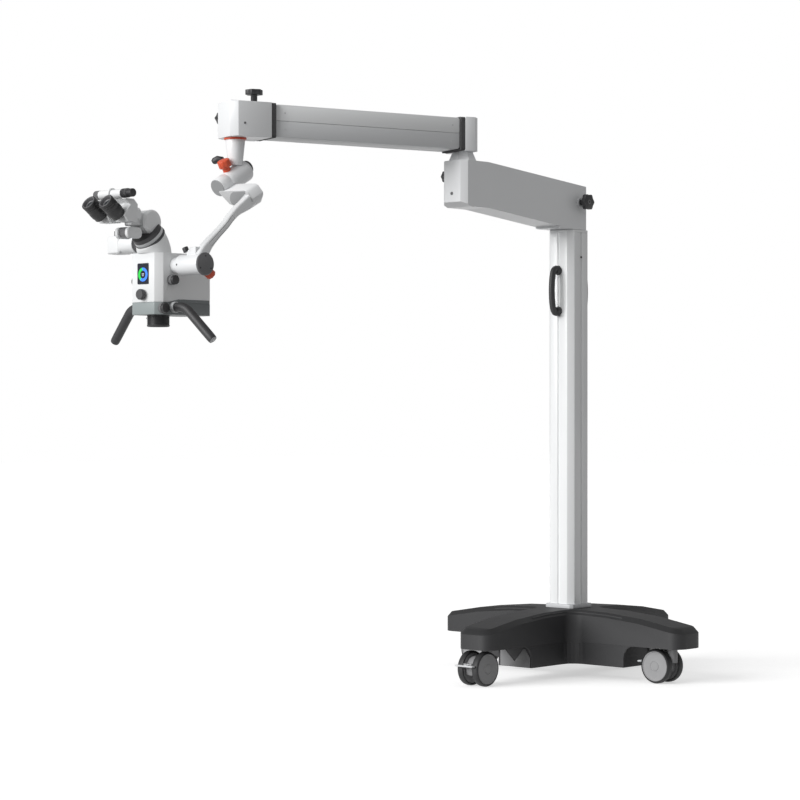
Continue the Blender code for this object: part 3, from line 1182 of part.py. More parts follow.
def build_eyes(make, tilt, knuckle):
    """Both prism housings on their slide, the eyepieces and the spacing bar."""
    eye_way = Vector((0, -math.cos(EYE_SLOPE), math.sin(EYE_SLOPE)))
    rim = Vector((0, *EYEPIECE_RIM)) - knuckle
    seat = rim - eye_way * EYEPIECE_LENGTH
    for name, side in (("left", -1), ("right", 1)):
        x = side * EYE_SPACING / 2
        make.pivot(f"prism_{name}", "binocular_tilt", tilt + knuckle + Vector((x, 0, 0)))
        outline = [
            (-0.0765, -0.006), (-0.0765, 0.04), (-0.09, 0.053), (-0.118, 0.053),
            (-0.134, 0.032), (-0.122, 0.008), (-0.108, -0.006),
        ]
        housing = side_profile(outline, -0.0235, 0.0235)
        seat_cut = cylinder(EYEPIECE_RADIUS + 0.02, seat - Vector((0, 0, 0)), seat + eye_way * 0.05, SMALL_ROUND)
        bar_bed = cylinder(
            SPACING_BAR_RADIUS + GAP, Vector((-0.05, *SPACING_BAR)) - knuckle,
            Vector((0.05, *SPACING_BAR)) - knuckle, SMALL_ROUND,
        )
        make.piece(f"prism_{name}", housing, f"prism_{name}", WHITE, 0.4, cuts=[seat_cut, bar_bed])
        make.pivot(f"eyepiece_{name}", f"prism_{name}", tilt + knuckle + Vector((x, 0, 0)) + seat)
        r = EYEPIECE_RADIUS
        length = EYEPIECE_LENGTH
        profile = [
            (0.0, length - 0.008), (r - 0.009, length - 0.008), (r - 0.003, length),
            (r - 0.0005, length - 0.0015), (r - 0.0005, length - 0.008), (r - 0.003, length - 0.0095),
            (r - 0.003, length - 0.012), (r, length - 0.0135), (r, 0.012), (r - 0.002, 0.01),
            (r - 0.002, GAP), (0.0, GAP),
        ]
        barrel = moved(turned(profile), (0, 0, 0), turn_z_to(eye_way))
        make.piece(f"eyepiece_{name}", barrel, f"eyepiece_{name}", DARK, 0.5)
    bar_place = Vector((0, *SPACING_BAR))
    make.pivot("spacing_bar", "binocular_tilt", tilt + bar_place)
    r = SPACING_BAR_RADIUS
    half = SPACING_BAR_HALF
    bar = cylinder(r, (-half, 0, 0), (half, 0, 0), SMALL_ROUND)
    knobs = [
        cylinder(r + 0.0008, (side * (half - 0.0005), 0, 0), (side * (half + length), 0, 0), SMALL_ROUND, bevel=0.002)
        for side, length in ((-1, SPACING_KNOB_LEFT), (1, SPACING_KNOB_RIGHT))
    ]
    make.piece("spacing_bar", bar, "spacing_bar", WHITE, 0.4, joins=knobs)


def stand_on_origin(make):
    """Shift everything so that the origin is the middle of the box at its lowest level."""
    bpy.context.view_layer.update()
    graph = bpy.context.evaluated_depsgraph_get()
    low = Vector((1e9, 1e9, 1e9))
    high = -low
    for item in make.parts.objects:
        if item.type != "MESH":
            continue
        shape = item.evaluated_get(graph)
        for vertex in shape.data.vertices:
            point = item.matrix_world @ vertex.co
            low = Vector(map(min, low, point))
            high = Vector(map(max, high, point))
    root = make.pivots["stand"]
    root.location = (-(low.x + high.x) / 2, -(low.y + high.y) / 2, -low.z)
    bpy.context.view_layer.update()


def main():
    clear_scene()
    make = Builder()
    make.pivot("stand", None, (0, 0, 0))
    build_base(make)
    for name, place, trail, has_brake in CASTORS:
        build_castor(make, name, place, trail, has_brake)
    build_column(make)
    build_swing_arm(make)
    build_spring_arm(make)
    build_suspension(make)
    build_yoke(make)
    build_head(make)
    stand_on_origin(make)


main()
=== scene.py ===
"""Surgical microscope on a mobile floor stand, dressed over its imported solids.

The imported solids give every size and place. This file rounds their edges, adds the small
pieces that show, gives each its finish and sets up the studio and the camera.
"""

import json
import logging
import math
from dataclasses import dataclass, field
from enum import Enum
from typing import Callable, Iterable, Optional, Sequence

import bmesh
import bpy
from mathutils import Matrix, Quaternion, Vector

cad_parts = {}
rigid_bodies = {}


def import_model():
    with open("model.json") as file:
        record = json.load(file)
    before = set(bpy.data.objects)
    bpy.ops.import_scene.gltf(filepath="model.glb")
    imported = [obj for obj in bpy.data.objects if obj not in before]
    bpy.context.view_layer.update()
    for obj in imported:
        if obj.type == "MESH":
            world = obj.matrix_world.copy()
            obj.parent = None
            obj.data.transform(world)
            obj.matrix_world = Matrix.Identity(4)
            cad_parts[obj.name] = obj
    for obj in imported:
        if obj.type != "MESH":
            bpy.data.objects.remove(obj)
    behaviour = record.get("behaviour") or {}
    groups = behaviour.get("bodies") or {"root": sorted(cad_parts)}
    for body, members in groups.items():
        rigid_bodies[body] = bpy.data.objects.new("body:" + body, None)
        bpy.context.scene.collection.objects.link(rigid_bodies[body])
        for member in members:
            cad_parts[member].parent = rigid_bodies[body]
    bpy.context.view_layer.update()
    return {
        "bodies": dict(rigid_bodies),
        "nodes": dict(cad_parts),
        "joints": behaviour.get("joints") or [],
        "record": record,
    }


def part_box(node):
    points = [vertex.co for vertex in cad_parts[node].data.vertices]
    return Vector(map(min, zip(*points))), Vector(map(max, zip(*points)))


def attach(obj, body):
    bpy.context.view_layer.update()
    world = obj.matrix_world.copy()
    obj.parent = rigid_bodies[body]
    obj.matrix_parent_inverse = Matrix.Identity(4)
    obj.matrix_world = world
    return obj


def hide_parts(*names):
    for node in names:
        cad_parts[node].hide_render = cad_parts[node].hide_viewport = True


log = logging.getLogger("microscope")

Colour = tuple[float, float, float]
Points = list[tuple[float, float]]


class Grain(Enum):
    """The surface structures that the finishes use."""

    PAINT = "paint"
    MOULDED = "moulded"
    RUBBER = "rubber"
    BRUSHED = "brushed"
    CAST = "cast"
    POLISHED = "polished"


class Signal:
    """One output socket, with the usual operators for values."""

    def __init__(self, graph: "Graph", socket: bpy.types.NodeSocket) -> None:
        """Wrap a socket of a graph."""
        self.graph = graph
        self.socket = socket

    def __add__(self, other: "Signal | float") -> "Signal":
        """Return the sum."""
        return self.graph.maths("ADD", self, other)

    def __mul__(self, other: "Signal | float") -> "Signal":
        """Return the product."""
        return self.graph.maths("MULTIPLY", self, other)


class Graph:
    """The node tree of a material or a world, built by expressions."""

    def __init__(self, tree: bpy.types.NodeTree) -> None:
        """Start from an emptied tree."""
        self.tree = tree
        tree.nodes.clear()

    def node(self, kind: str, **inputs) -> bpy.types.Node:
        """Add a node.

        Args:
            kind: The node's type name.
            inputs: Socket values or signals by name, with spaces as underscores.

        Returns:
            The new node.
        """
        made = self.tree.nodes.new(kind)
        for name, value in inputs.items():
            self.plug(made.inputs[name.replace("_", " ")], value)
        return made

    def plug(self, socket: bpy.types.NodeSocket, value) -> None:
        """Set a socket to a value or link a signal to it."""
        if isinstance(value, Signal):
            self.tree.links.new(value.socket, socket)
        elif isinstance(value, tuple) and len(value) == 3 and socket.type == "RGBA":
            socket.default_value = (*value, 1.0)
        else:
            socket.default_value = value

    def out(self, node: bpy.types.Node, name: str) -> Signal:
        """Return one output of a node as a signal."""
        return Signal(self, node.outputs[name])

    def maths(self, operation: str, left: "Signal | float", right: "Signal | float") -> Signal:
        """Return the result of a Math node."""
        made = self.tree.nodes.new("ShaderNodeMath")
        made.operation = operation
        self.plug(made.inputs[0], left)
        self.plug(made.inputs[1], right)
        return Signal(self, made.outputs[0])

    def blend(self, amount: "Signal | float", low: "Signal | Colour", high: "Signal | Colour") -> Signal:
        """Return a mix of two colours."""
        made = self.tree.nodes.new("ShaderNodeMix")
        made.data_type = "RGBA"
        self.plug(made.inputs[0], amount)
        self.plug(made.inputs[6], low)
        self.plug(made.inputs[7], high)
        return Signal(self, made.outputs[2])

    def place(self) -> Signal:
        """Return the object's own coordinates, in metres."""
        return self.out(self.node("ShaderNodeTexCoord"), "Object")

    def noise(self, scale: float, detail: float = 2.0, stretch: Colour = (1.0, 1.0, 1.0)) -> Signal:
        """Return a noise value, optionally stretched along an axis."""
        where = self.place()
        if stretch != (1.0, 1.0, 1.0):
            mapping = self.node("ShaderNodeMapping", Vector=where, Scale=stretch)
            where = self.out(mapping, "Vector")
        return self.out(self.node("ShaderNodeTexNoise", Vector=where, Scale=scale, Detail=detail), "Fac")


@dataclass(frozen=True)
class Finish:
    """A finish: its colour, gloss and the structure of its surface."""

    name: str
    colour: Colour
    roughness: float
    grain: Grain = Grain.MOULDED
    metallic: float = 0.0
    coat: float = 0.0
    mottle: float = 0.02
    depth: float = 0.0001
    glow: float = 0.0

    def material(self) -> bpy.types.Material:
        """Return the finish's material, built once."""
        known = bpy.data.materials.get(self.name)
        if known is not None:
            return known
        made = bpy.data.materials.new(self.name)
        made.use_nodes = True
        graph = Graph(made.node_tree)
        shader = graph.node("ShaderNodeBsdfPrincipled")
        output = graph.node("ShaderNodeOutputMaterial")
        graph.plug(output.inputs["Surface"], graph.out(shader, "BSDF"))
        dim = tuple(channel * (1.0 - self.mottle) for channel in self.colour)
        lit = tuple(min(1.0, channel * (1.0 + self.mottle)) for channel in self.colour)
        graph.plug(shader.inputs["Base Color"], graph.blend(graph.noise(7.0, 3.0), dim, lit))
        graph.plug(shader.inputs["Metallic"], self.metallic)
        graph.plug(shader.inputs["Coat Weight"], self.coat)
        height = self._surface(graph)
        rough = graph.noise(38.0, 3.0) * 0.08 + (self.roughness - 0.04)
        graph.plug(shader.inputs["Roughness"], rough)
        bump = graph.node("ShaderNodeBump", Height=height, Distance=self.depth, Strength=0.6)
        graph.plug(shader.inputs["Normal"], graph.out(bump, "Normal"))
        if self.glow:
            graph.plug(shader.inputs["Emission Color"], self.colour)
            graph.plug(shader.inputs["Emission Strength"], self.glow)
        made.diffuse_color = (*self.colour, 1.0)
        return made

    def _surface(self, graph: Graph) -> Signal:
        """Return the height of the fine surface structure."""
        if self.grain is Grain.PAINT:
            return graph.noise(420.0, 1.0) * 0.7 + graph.noise(1500.0, 1.0) * 0.3
        if self.grain is Grain.RUBBER:
            return graph.noise(700.0, 4.0)
        if self.grain is Grain.BRUSHED:
            return graph.noise(300.0, 3.0, (1.0, 1.0, 14.0))
        if self.grain is Grain.CAST:
            return graph.noise(160.0, 5.0)
        if self.grain is Grain.POLISHED:
            return graph.noise(90.0, 1.0)
        cells = graph.node("ShaderNodeTexVoronoi", Vector=graph.place(), Scale=900.0)
        return graph.out(cells, "Distance") * 0.6 + graph.noise(1300.0, 2.0) * 0.4


RIGHT, LEFT = Vector((1, 0, 0)), Vector((-1, 0, 0))
BACK, FRONT = Vector((0, 1, 0)), Vector((0, -1, 0))
UP, DOWN = Vector((0, 0, 1)), Vector((0, 0, -1))

WHITE_PAINT = Finish("white paint", (0.83, 0.84, 0.85), 0.38, Grain.PAINT, coat=0.15, depth=0.00006)
# Grey for a thin sheet on the bracket's front: painted shade on the white bracket's front face.
BRACKET_PAINTED_SHADE = Finish("bracket face painted shade", (0.56, 0.565, 0.57), 0.42, Grain.PAINT, depth=0.00005)
COLUMN_PAINT = Finish("column paint", (0.85, 0.86, 0.865), 0.34, Grain.PAINT, coat=0.15, depth=0.00005)
WHITE_PLASTIC = Finish("white plastic", (0.82, 0.83, 0.835), 0.36, mottle=0.012, depth=0.00005)
COVER_UPPER = Finish("upper cover shell", (0.8, 0.81, 0.815), 0.4, mottle=0.012, depth=0.00006)
COVER_LOWER = Finish("lower cover shell", (0.64, 0.65, 0.66), 0.42, mottle=0.012, depth=0.00006)
BASE_PLASTIC = Finish("base moulding", (0.019, 0.019, 0.0205), 0.55, depth=0.00012)
# Darker than the base moulding: painted shade on the base's rounded top edge.
BASE_EDGE_PAINTED_SHADE = Finish("base moulding edge painted shade", (0.014, 0.014, 0.015), 0.5, depth=0.0001)
PLATE_PAINT = Finish("foot plate paint", (0.52, 0.53, 0.54), 0.4, Grain.PAINT)
IRON = Finish("ballast iron", (0.05, 0.05, 0.052), 0.75, Grain.CAST, metallic=0.7, depth=0.0006)
STEEL = Finish("turned steel", (0.56, 0.57, 0.58), 0.28, Grain.BRUSHED, metallic=1.0)
GASKET = Finish("gasket rubber", (0.085, 0.085, 0.088), 0.78, Grain.RUBBER, depth=0.0002)
TYRE = Finish("castor tyre", (0.018, 0.018, 0.019), 0.55, Grain.RUBBER, depth=0.0002)
DISC = Finish("castor disc", (0.3, 0.3, 0.305), 0.45)
FORK = Finish("castor fork", (0.26, 0.26, 0.265), 0.42)
PEDAL = Finish("pedal bar", (0.6, 0.61, 0.62), 0.4, Grain.PAINT)
BLACK = Finish("black knob plastic", (0.022, 0.022, 0.024), 0.44, depth=0.00012)
GRIP = Finish("soft grip", (0.03, 0.03, 0.032), 0.5, Grain.RUBBER, depth=0.00014)
EYECUP = Finish("eyecup rubber", (0.016, 0.016, 0.017), 0.5, Grain.RUBBER, depth=0.00012)
RIM = Finish("eyepiece rim", (0.12, 0.12, 0.125), 0.5)
SMOKE = Finish("grey cover plastic", (0.13, 0.13, 0.135), 0.42)
KNOB_GREY = Finish("grey knob plastic", (0.062, 0.062, 0.065), 0.42)
MID_GREY = Finish("end cap plastic", (0.3, 0.305, 0.31), 0.42)
RING_LIGHT = Finish("light ring", (0.62, 0.63, 0.64), 0.36, Grain.PAINT)
RING_DARK = Finish("dark ring", (0.045, 0.045, 0.048), 0.4)
ORANGE = Finish("orange plastic", (0.66, 0.085, 0.03), 0.42, mottle=0.03)
BAND_FRONT = Finish("band moulding", (0.29, 0.325, 0.325), 0.42)
BAND_SIDE = Finish("band side moulding", (0.16, 0.175, 0.18), 0.45)
GLASS_DARK = Finish("coated lens", (0.02, 0.026, 0.03), 0.08, Grain.POLISHED, coat=1.0)
SCREEN = Finish("screen glass", (0.006, 0.01, 0.024), 0.12, Grain.POLISHED, coat=0.6)
SCREEN_BLUE = Finish("screen blue", (0.05, 0.22, 0.9), 0.3, Grain.POLISHED, glow=0.45)
SCREEN_GREEN = Finish("screen green", (0.02, 0.55, 0.06), 0.3, Grain.POLISHED, glow=0.45)
SCREEN_PALE = Finish("screen pale", (0.6, 0.65, 0.7), 0.3, Grain.POLISHED, glow=0.3)
STRUT = Finish("gas spring body", (0.02, 0.02, 0.022), 0.25, Grain.POLISHED, coat=0.5)


@dataclass
class Layout:
    """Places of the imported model, measured from the column's axis in millimetres."""

    places: dict[str, Vector] = field(default_factory=dict)
    axes: dict[str, Vector] = field(default_factory=dict)

    def read(self, frame: dict) -> None:
        """Take every joint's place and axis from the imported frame."""
        for joint in frame["joints"]:
            self.places[joint["name"]] = Vector(joint["pos_m"])
            self.axes[joint["name"]] = Vector(joint["axis"])

    def point(self, x: float, y: float, z: float) -> Vector:
        """Return a place in the row's frame, from the column's axis on the floor."""
        column = self.places["swing_yaw"]
        return Vector((column.x + x / 1000, column.y + y / 1000, z / 1000))

    def arm_way(self) -> Vector:
        """Return the direction from the hub to the front block."""
        way = self.places["head_yaw"] - self.places["hub_yaw"]
        way.z = 0.0
        return way.normalized()

    def arm_point(self, along: float, side: float, z: float) -> Vector:
        """Return a place measured along the spring arm from the front swivel, in millimetres."""
        way = self.arm_way()
        right = Vector((-way.y, way.x, 0.0))
        base = self.places["head_yaw"]
        spot = base + way * (along / 1000) + right * (side / 1000)
        return Vector((spot.x, spot.y, z / 1000))


@dataclass
class Workshop:
    """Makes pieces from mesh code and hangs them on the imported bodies."""

    layout: Layout
    count: int = 0

    def put(
        self,
        name: str,
        shape: bmesh.types.BMesh,
        finish: Finish,
        body: str,
        slot: str,
        stands_for: Sequence[str] = (),
        extra: Sequence[Finish] = (),
        sharp: float = 35.0,
    ) -> bpy.types.Object:
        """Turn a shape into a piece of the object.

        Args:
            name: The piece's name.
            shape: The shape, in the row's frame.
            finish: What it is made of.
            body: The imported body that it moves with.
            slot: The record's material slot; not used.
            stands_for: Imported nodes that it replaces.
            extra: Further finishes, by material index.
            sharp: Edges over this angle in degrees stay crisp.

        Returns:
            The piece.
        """
        mesh = bpy.data.meshes.new(name)
        bmesh.ops.recalc_face_normals(shape, faces=shape.faces)
        shape.to_mesh(mesh)
        shape.free()
        mesh.shade_smooth()
        mesh.set_sharp_from_angle(angle=math.radians(sharp))
        for each in (finish, *extra):
            mesh.materials.append(each.material())
        piece = bpy.data.objects.new(name, mesh)
        bpy.context.scene.collection.objects.link(piece)
        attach(piece, body)
        if stands_for:
            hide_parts(*stands_for)
        self.count += 1
        return piece

    def paint(self, finish: Finish, *nodes: str) -> None:
        """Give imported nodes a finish."""
        for name in nodes:
            item = bpy.data.objects[name]
            item.data.materials.clear()
            item.data.materials.append(finish.material())

    def rounded(
        self,
        node: str,
        finish: Finish,
        body: str,
        slot: str,
        width: float = 1.0,
        steps: int = 2,
        chooser: Optional[Callable[[bmesh.types.BMEdge], bool]] = None,
        edge_finish: Optional[Finish] = None,
        refine: Optional[Callable[[bmesh.types.BMesh], None]] = None,
    ) -> bpy.types.Object:
        """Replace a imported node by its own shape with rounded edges.

        Args:
            node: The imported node.
            finish: What it is made of.
            body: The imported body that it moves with.
            slot: The record's material slot.
            width: The rounding in millimetres.
            steps: How many segments the rounding has.
            chooser: Says which edges are rounded; all sharp ones if left out.
            edge_finish: A finish for the rounding alone.
            refine: A last change to the shape.

        Returns:
            The piece.
        """
        shape = bmesh.new()
        shape.from_mesh(bpy.data.objects[node].data)
        bmesh.ops.remove_doubles(shape, verts=shape.verts, dist=0.00002)
        bmesh.ops.dissolve_limit(shape, angle_limit=0.008, verts=shape.verts, edges=shape.edges)
        shape.normal_update()
        pick = chooser or (lambda edge: True)
        chosen = [
            edge
            for edge in shape.edges
            if len(edge.link_faces) == 2 and edge.calc_face_angle(0.0) > 0.55 and pick(edge)
        ]
        result = bmesh.ops.bevel(
            shape, geom=chosen, offset=width / 1000, segments=steps, profile=0.5, affect="EDGES",
            clamp_overlap=True,
        )
        extra: list[Finish] = []
        if edge_finish is not None:
            extra.append(edge_finish)
            for face in result["faces"]:
                face.material_index = 1
        if refine is not None:
            refine(shape)
        return self.put(f"{node}_dressed", shape, finish, body, slot, (node,), extra)

    def turned(
        self, profile: Points, place: Vector, axis: Vector, steps: int = 48, spans: Iterable[int] = ()
    ) -> bmesh.types.BMesh:
        """Return a turned shape.

        Args:
            profile: (radius, height) pairs in millimetres along the axis.
            place: Where height 0 lies.
            axis: The direction of growing height.
            steps: Sides of the round.
            spans: Profile spans whose faces get material index 1.

        Returns:
            The shape, closed where its ends reach the axis.
        """
        shape = bmesh.new()
        turn = axis.normalized().to_track_quat("Z", "Y")
        rows = [ring_at(shape, place, turn, [radius] * steps, height) for radius, height in profile]
        second = set(spans)
        for index, (lower, upper) in enumerate(zip(rows, rows[1:])):
            for i in range(steps):
                j = (i + 1) % steps
                face = shape.faces.new((lower[i], lower[j], upper[j], upper[i]))
                face.material_index = 1 if index in second else 0
        bmesh.ops.remove_doubles(shape, verts=shape.verts, dist=0.000005)
        return shape

    def swept(
        self, path: Sequence[Vector], section: Points, up: Vector, sizes: Optional[Sequence[float]] = None
    ) -> bmesh.types.BMesh:
        """Return a section carried along a path.

        Args:
            path: The middle line, in metres.
            section: The section's outline in millimetres, across and up.
            up: The direction that stays up across the path.
            sizes: A scale for the section at each point.

        Returns:
            The shape, closed by its end faces.
        """
        shape = bmesh.new()
        rows = []
        for i, spot in enumerate(path):
            before, after = path[max(i - 1, 0)], path[min(i + 1, len(path) - 1)]
            way = (after - before).normalized()
            side = way.cross(up).normalized()
            over = side.cross(way).normalized()
            size = (sizes[i] if sizes else 1.0) / 1000
            rows.append([shape.verts.new(spot + side * (u * size) + over * (v * size)) for u, v in section])
        skin(shape, rows)
        return shape

    def plate(
        self, outline: Points, thickness: float, place: Vector, across: Vector, up: Vector, soft: float = 0.0
    ) -> bmesh.types.BMesh:
        """Return a flat plate.

        Args:
            outline: Points in millimetres, across and up from the place.
            thickness: How far it stands out, in millimetres, towards across x up.
            place: The middle of its back face.
            across: The outline's first direction.
            up: The outline's second direction.
            soft: The rounding of its front edges, in millimetres.

        Returns:
            The shape.
        """
        shape = bmesh.new()
        out = across.cross(up).normalized() * (thickness / 1000)
        back = [shape.verts.new(place + across * (u / 1000) + up * (v / 1000)) for u, v in outline]
        bottom = shape.faces.new(back)
        grown = bmesh.ops.extrude_face_region(shape, geom=[bottom])
        fresh = [item for item in grown["geom"] if isinstance(item, bmesh.types.BMVert)]
        bmesh.ops.translate(shape, verts=fresh, vec=out)
        if soft > 0:
            near = set(fresh)
            rim = [edge for edge in shape.edges if edge.verts[0] in near and edge.verts[1] in near]
            bmesh.ops.bevel(shape, geom=rim, offset=soft / 1000, segments=3, profile=0.5, affect="EDGES")
        return shape

    def screw(self, place: Vector, axis: Vector, radius: float, height: float) -> bmesh.types.BMesh:
        """Return a socket screw's head."""
        socket = radius * 0.5
        profile = [
            (radius, 0.0), (radius, height * 0.7), (radius * 0.85, height), (socket, height),
            (socket * 0.9, height * 0.45), (0.0, height * 0.4),
        ]
        return self.turned([(0.0, 0.0), *profile], place, axis, 18)

    def ribbed(
        self, place: Vector, way: Vector, radius: float, low: float, high: float, ribs: int
    ) -> bmesh.types.BMesh:
        """Return a straight-knurled collar between two heights."""
        shape = bmesh.new()
        turn = way.to_track_quat("Z", "Y")
        count = ribs * 4
        levels = (
            (0.9, low), (0.97, low), (1.0, low + 0.8), (1.0, high - 0.8), (0.96, high), (0.5, high),
        )
        rows = []
        for share, z in levels:
            cut = 0.5 if share > 0.93 else 0.0
            radii = [radius * share - (cut if i % 4 in (0, 1) else 0.0) for i in range(count)]
            rows.append(ring_at(shape, place, turn, radii, z))
        skin(shape, rows)
        return shape


def ring_at(
    shape: bmesh.types.BMesh, place: Vector, turn: Quaternion, radii: Sequence[float], height: float
) -> list[bmesh.types.BMVert]:
    """Add a ring of points to a shape.

    Args:
        shape: The shape.
        place: Where height 0 lies.
        turn: The turn from the Z axis to the ring's axis.
        radii: Each point's distance from the axis in millimetres.
        height: The ring's height in millimetres.

    Returns:
        The points.
    """
    row = []
    for i, radius in enumerate(radii):
        angle = 2 * math.pi * i / len(radii)
        local = Vector((radius * math.cos(angle), radius * math.sin(angle), height)) / 1000
        row.append(shape.verts.new(place + turn @ local))
    return row


def skin(shape: bmesh.types.BMesh, rows: Sequence[list[bmesh.types.BMVert]], ends: bool = True) -> None:
    """Join rows of as many points each to a closed skin, with or without its two ends."""
    count = len(rows[0])
    for lower, upper in zip(rows, rows[1:]):
        for i in range(count):
            j = (i + 1) % count
            shape.faces.new((lower[i], lower[j], upper[j], upper[i]))
    if ends:
        shape.faces.new(rows[0][::-1])
        shape.faces.new(rows[-1])


def ring_points(radius: float, count: int, start: float = 0.0, end: float = 360.0) -> Points:
    """Return points on an arc about the origin, in degrees; a whole circle has no double point."""
    whole = abs(end - start) >= 360.0
    steps = count if whole else count - 1
    turn = [math.radians(start + (end - start) * i / steps) for i in range(count)]
    return [(radius * math.cos(a), radius * math.sin(a)) for a in turn]


def rounded_box(width: float, height: float, radius: float, steps: int = 5) -> Points:
    """Return a rectangle's outline with round corners, about the origin."""
    points: Points = []
    for sx, sy, start in ((1, 1, 0), (-1, 1, 90), (-1, -1, 180), (1, -1, 270)):
        cx, cy = sx * (width / 2 - radius), sy * (height / 2 - radius)
        for x, y in ring_points(radius, steps, start, start + 90):
            points.append((cx + x, cy + y))
    return points


def dome_profile(radius: float, height: float, corner: float, steps: int = 4) -> Points:
    """Return the profile of a knob with a rounded front edge."""
    points: Points = [(0.0, 0.0), (radius, 0.0), (radius, height - corner)]
    for i in range(1, steps + 1):
        angle = math.radians(90 * i / steps)
        across, over = corner * math.cos(angle), corner * math.sin(angle)
        points.append((radius - corner + across, height - corner + over))
    points.append((0.0, height))
    return points


@dataclass
class Stand:
    """The base, its castors and the column with its handles."""

    shop: Workshop
    base_edge: float = 13.5
    wheel_radius: float = 50.0
    wheel_inner: float = 16.5
    wheel_outer: float = 38.5
    handle_bow: float = 34.0

    def build(self) -> None:
        """Dress the base, column and castors."""
        self._base()
        self._column()
        for name in ("front", "right", "back", "left"):
            self._castor(name)

    def _base(self) -> None:
        """Round the moulding's top edge, with painted shade on the rounding, and lay a lighter plate of
        painted light in its front arch.
        """
        shop = self.shop

        def top_edge(edge: bmesh.types.BMEdge) -> bool:
            """Say whether an edge runs along the rim of the top."""
            flat = [face.normal.z for face in edge.link_faces]
            high = min(v.co.z for v in edge.verts) > 0.14
            return high and max(flat) > 0.75 and min(abs(z) for z in flat) < 0.35

        # The rounding of the top edge gets the darker edge finish as painted shade.
        shop.rounded(
            "base_shell", BASE_PLASTIC, "stand", "base_plastic", self.base_edge, 1, top_edge, BASE_EDGE_PAINTED_SHADE
        )
        shop.paint(BASE_PLASTIC, "base_skirt")
        # A lighter M-shaped plate over the dark front wall of the arch: painted light where that wall is lit
        # from the front; its V notch leaves the dark shell showing.
        outline = [(-55, 1), (56, 1), (56, 29), (40, 54), (33, 55), (-1, 16), (-44, 54), (-55, 54)]
        panel = shop.plate(
            outline, 1.2, shop.layout.point(0, -252.2, 41), RIGHT, UP, 0.4
        )
        shop.put("arch_painted_light", panel, FORK, "stand", "base_plastic")
        shop.paint(IRON, "ballast")
        shop.rounded("foot_plate", PLATE_PAINT, "stand", "plate_paint", 0.8)
        shop.rounded("power_inlet", BLACK, "stand", "black_plastic", 0.5)

    def _column(self) -> None:
        """Dress the column, and bow both handles out of its faces."""
        shop = self.shop
        shop.rounded("column", COLUMN_PAINT, "stand", "column_paint", 0.7, 2)
        shop.paint(STEEL, "column_spindle")
        screw = shop.screw(shop.layout.point(47.6, 0, 1247), RIGHT, 3.4, 1.6)
        shop.put("column_screw", screw, BLACK, "stand", "black_plastic")
        for name, side in (("front", -1.0), ("rear", 1.0)):
            low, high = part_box(f"column_handle_{name}")
            face = side * 47.8
            middle = (low.z + high.z) * 500
            rise = 66.0
            path = []
            for i in range(29):
                share = i / 28
                angle = math.pi * share
                bow = math.sin(angle) ** 0.42 if 0.0 < share < 1.0 else 0.0
                out = face + side * (self.handle_bow - 1.5) * bow
                path.append(shop.layout.point(0, out, middle - rise * math.cos(angle)))
            section = rounded_box(19.0, 15.0, 6.5)
            bar = shop.swept(path, section, RIGHT)
            shop.put(
                f"handle_{name}", bar, GRIP, "stand", "grip_plastic", (f"column_handle_{name}",), sharp=50
            )
            for z in (middle - 60, middle + 60):
                foot = shop.turned(
                    [(0, 0), (13.0, 0), (13.0, 3.0), (11.5, 8.0), (8.6, 14.0), (0, 14.0)],
                    shop.layout.point(0, face, z), Vector((0, side, 0)), 32,
                )
                shop.put(f"handle_{name}_foot_{int(z)}", foot, GRIP, "stand", "grip_plastic")

    def _castor(self, name: str) -> None:
        """Build a castor's tyres, discs and hubs, and dress its fork and pedal."""
        shop = self.shop
        place = shop.layout.places[f"castor_{name}_roll"]
        axis = shop.layout.axes[f"castor_{name}_roll"]
        inner, outer, big = self.wheel_inner, self.wheel_outer, self.wheel_radius
        body = f"wheels_{name}"
        for side, word in ((-1.0, "a"), (1.0, "b")):
            way = axis * side
            tyre = [
                (44.0, inner + 1.0), (big - 3.5, inner), (big - 1.0, inner + 1.5), (big, inner + 5.0),
                (big, outer - 7.0), (big - 1.2, outer - 3.0), (big - 3.8, outer - 0.6), (44.8, outer),
                (44.0, outer - 1.2), (44.0, inner + 1.0),
            ]
            shop.put(
                f"tyre_{name}_{word}", shop.turned(tyre, place, way, 56), TYRE, body, "wheel_rubber",
                (f"castor_wheels_{name}",) if side > 0 else (),
            )
            disc = [
                (0.0, inner + 2.0), (42.0, inner + 2.0), (43.8, inner + 3.0), (43.8, outer - 2.0),
                (43.0, outer - 0.8), (40.6, outer - 0.8), (39.6, outer - 2.0), (37.0, outer - 2.4),
                (15.5, outer - 0.9), (14.6, outer - 1.7), (13.4, outer - 1.7), (12.6, outer - 0.6),
                (4.0, outer - 0.3), (0.0, outer - 0.3),
            ]
            shop.put(f"disc_{name}_{word}", shop.turned(disc, place, way, 56), DISC, body, "castor_grey")
        axle = shop.turned(
            [(0, -inner - 3), (4.8, -inner - 3), (4.8, inner + 3), (0, inner + 3)], place, axis, 20
        )
        shop.put(f"axle_{name}", axle, STEEL, body, "steel")
        shop.rounded(f"castor_fork_{name}", FORK, f"castor_{name}", "castor_grey", 0.8)
        if name in ("front", "right"):
            shop.rounded(f"brake_pedal_{name}", PEDAL, f"brake_{name}", "pedal_paint", 0.4, 1)


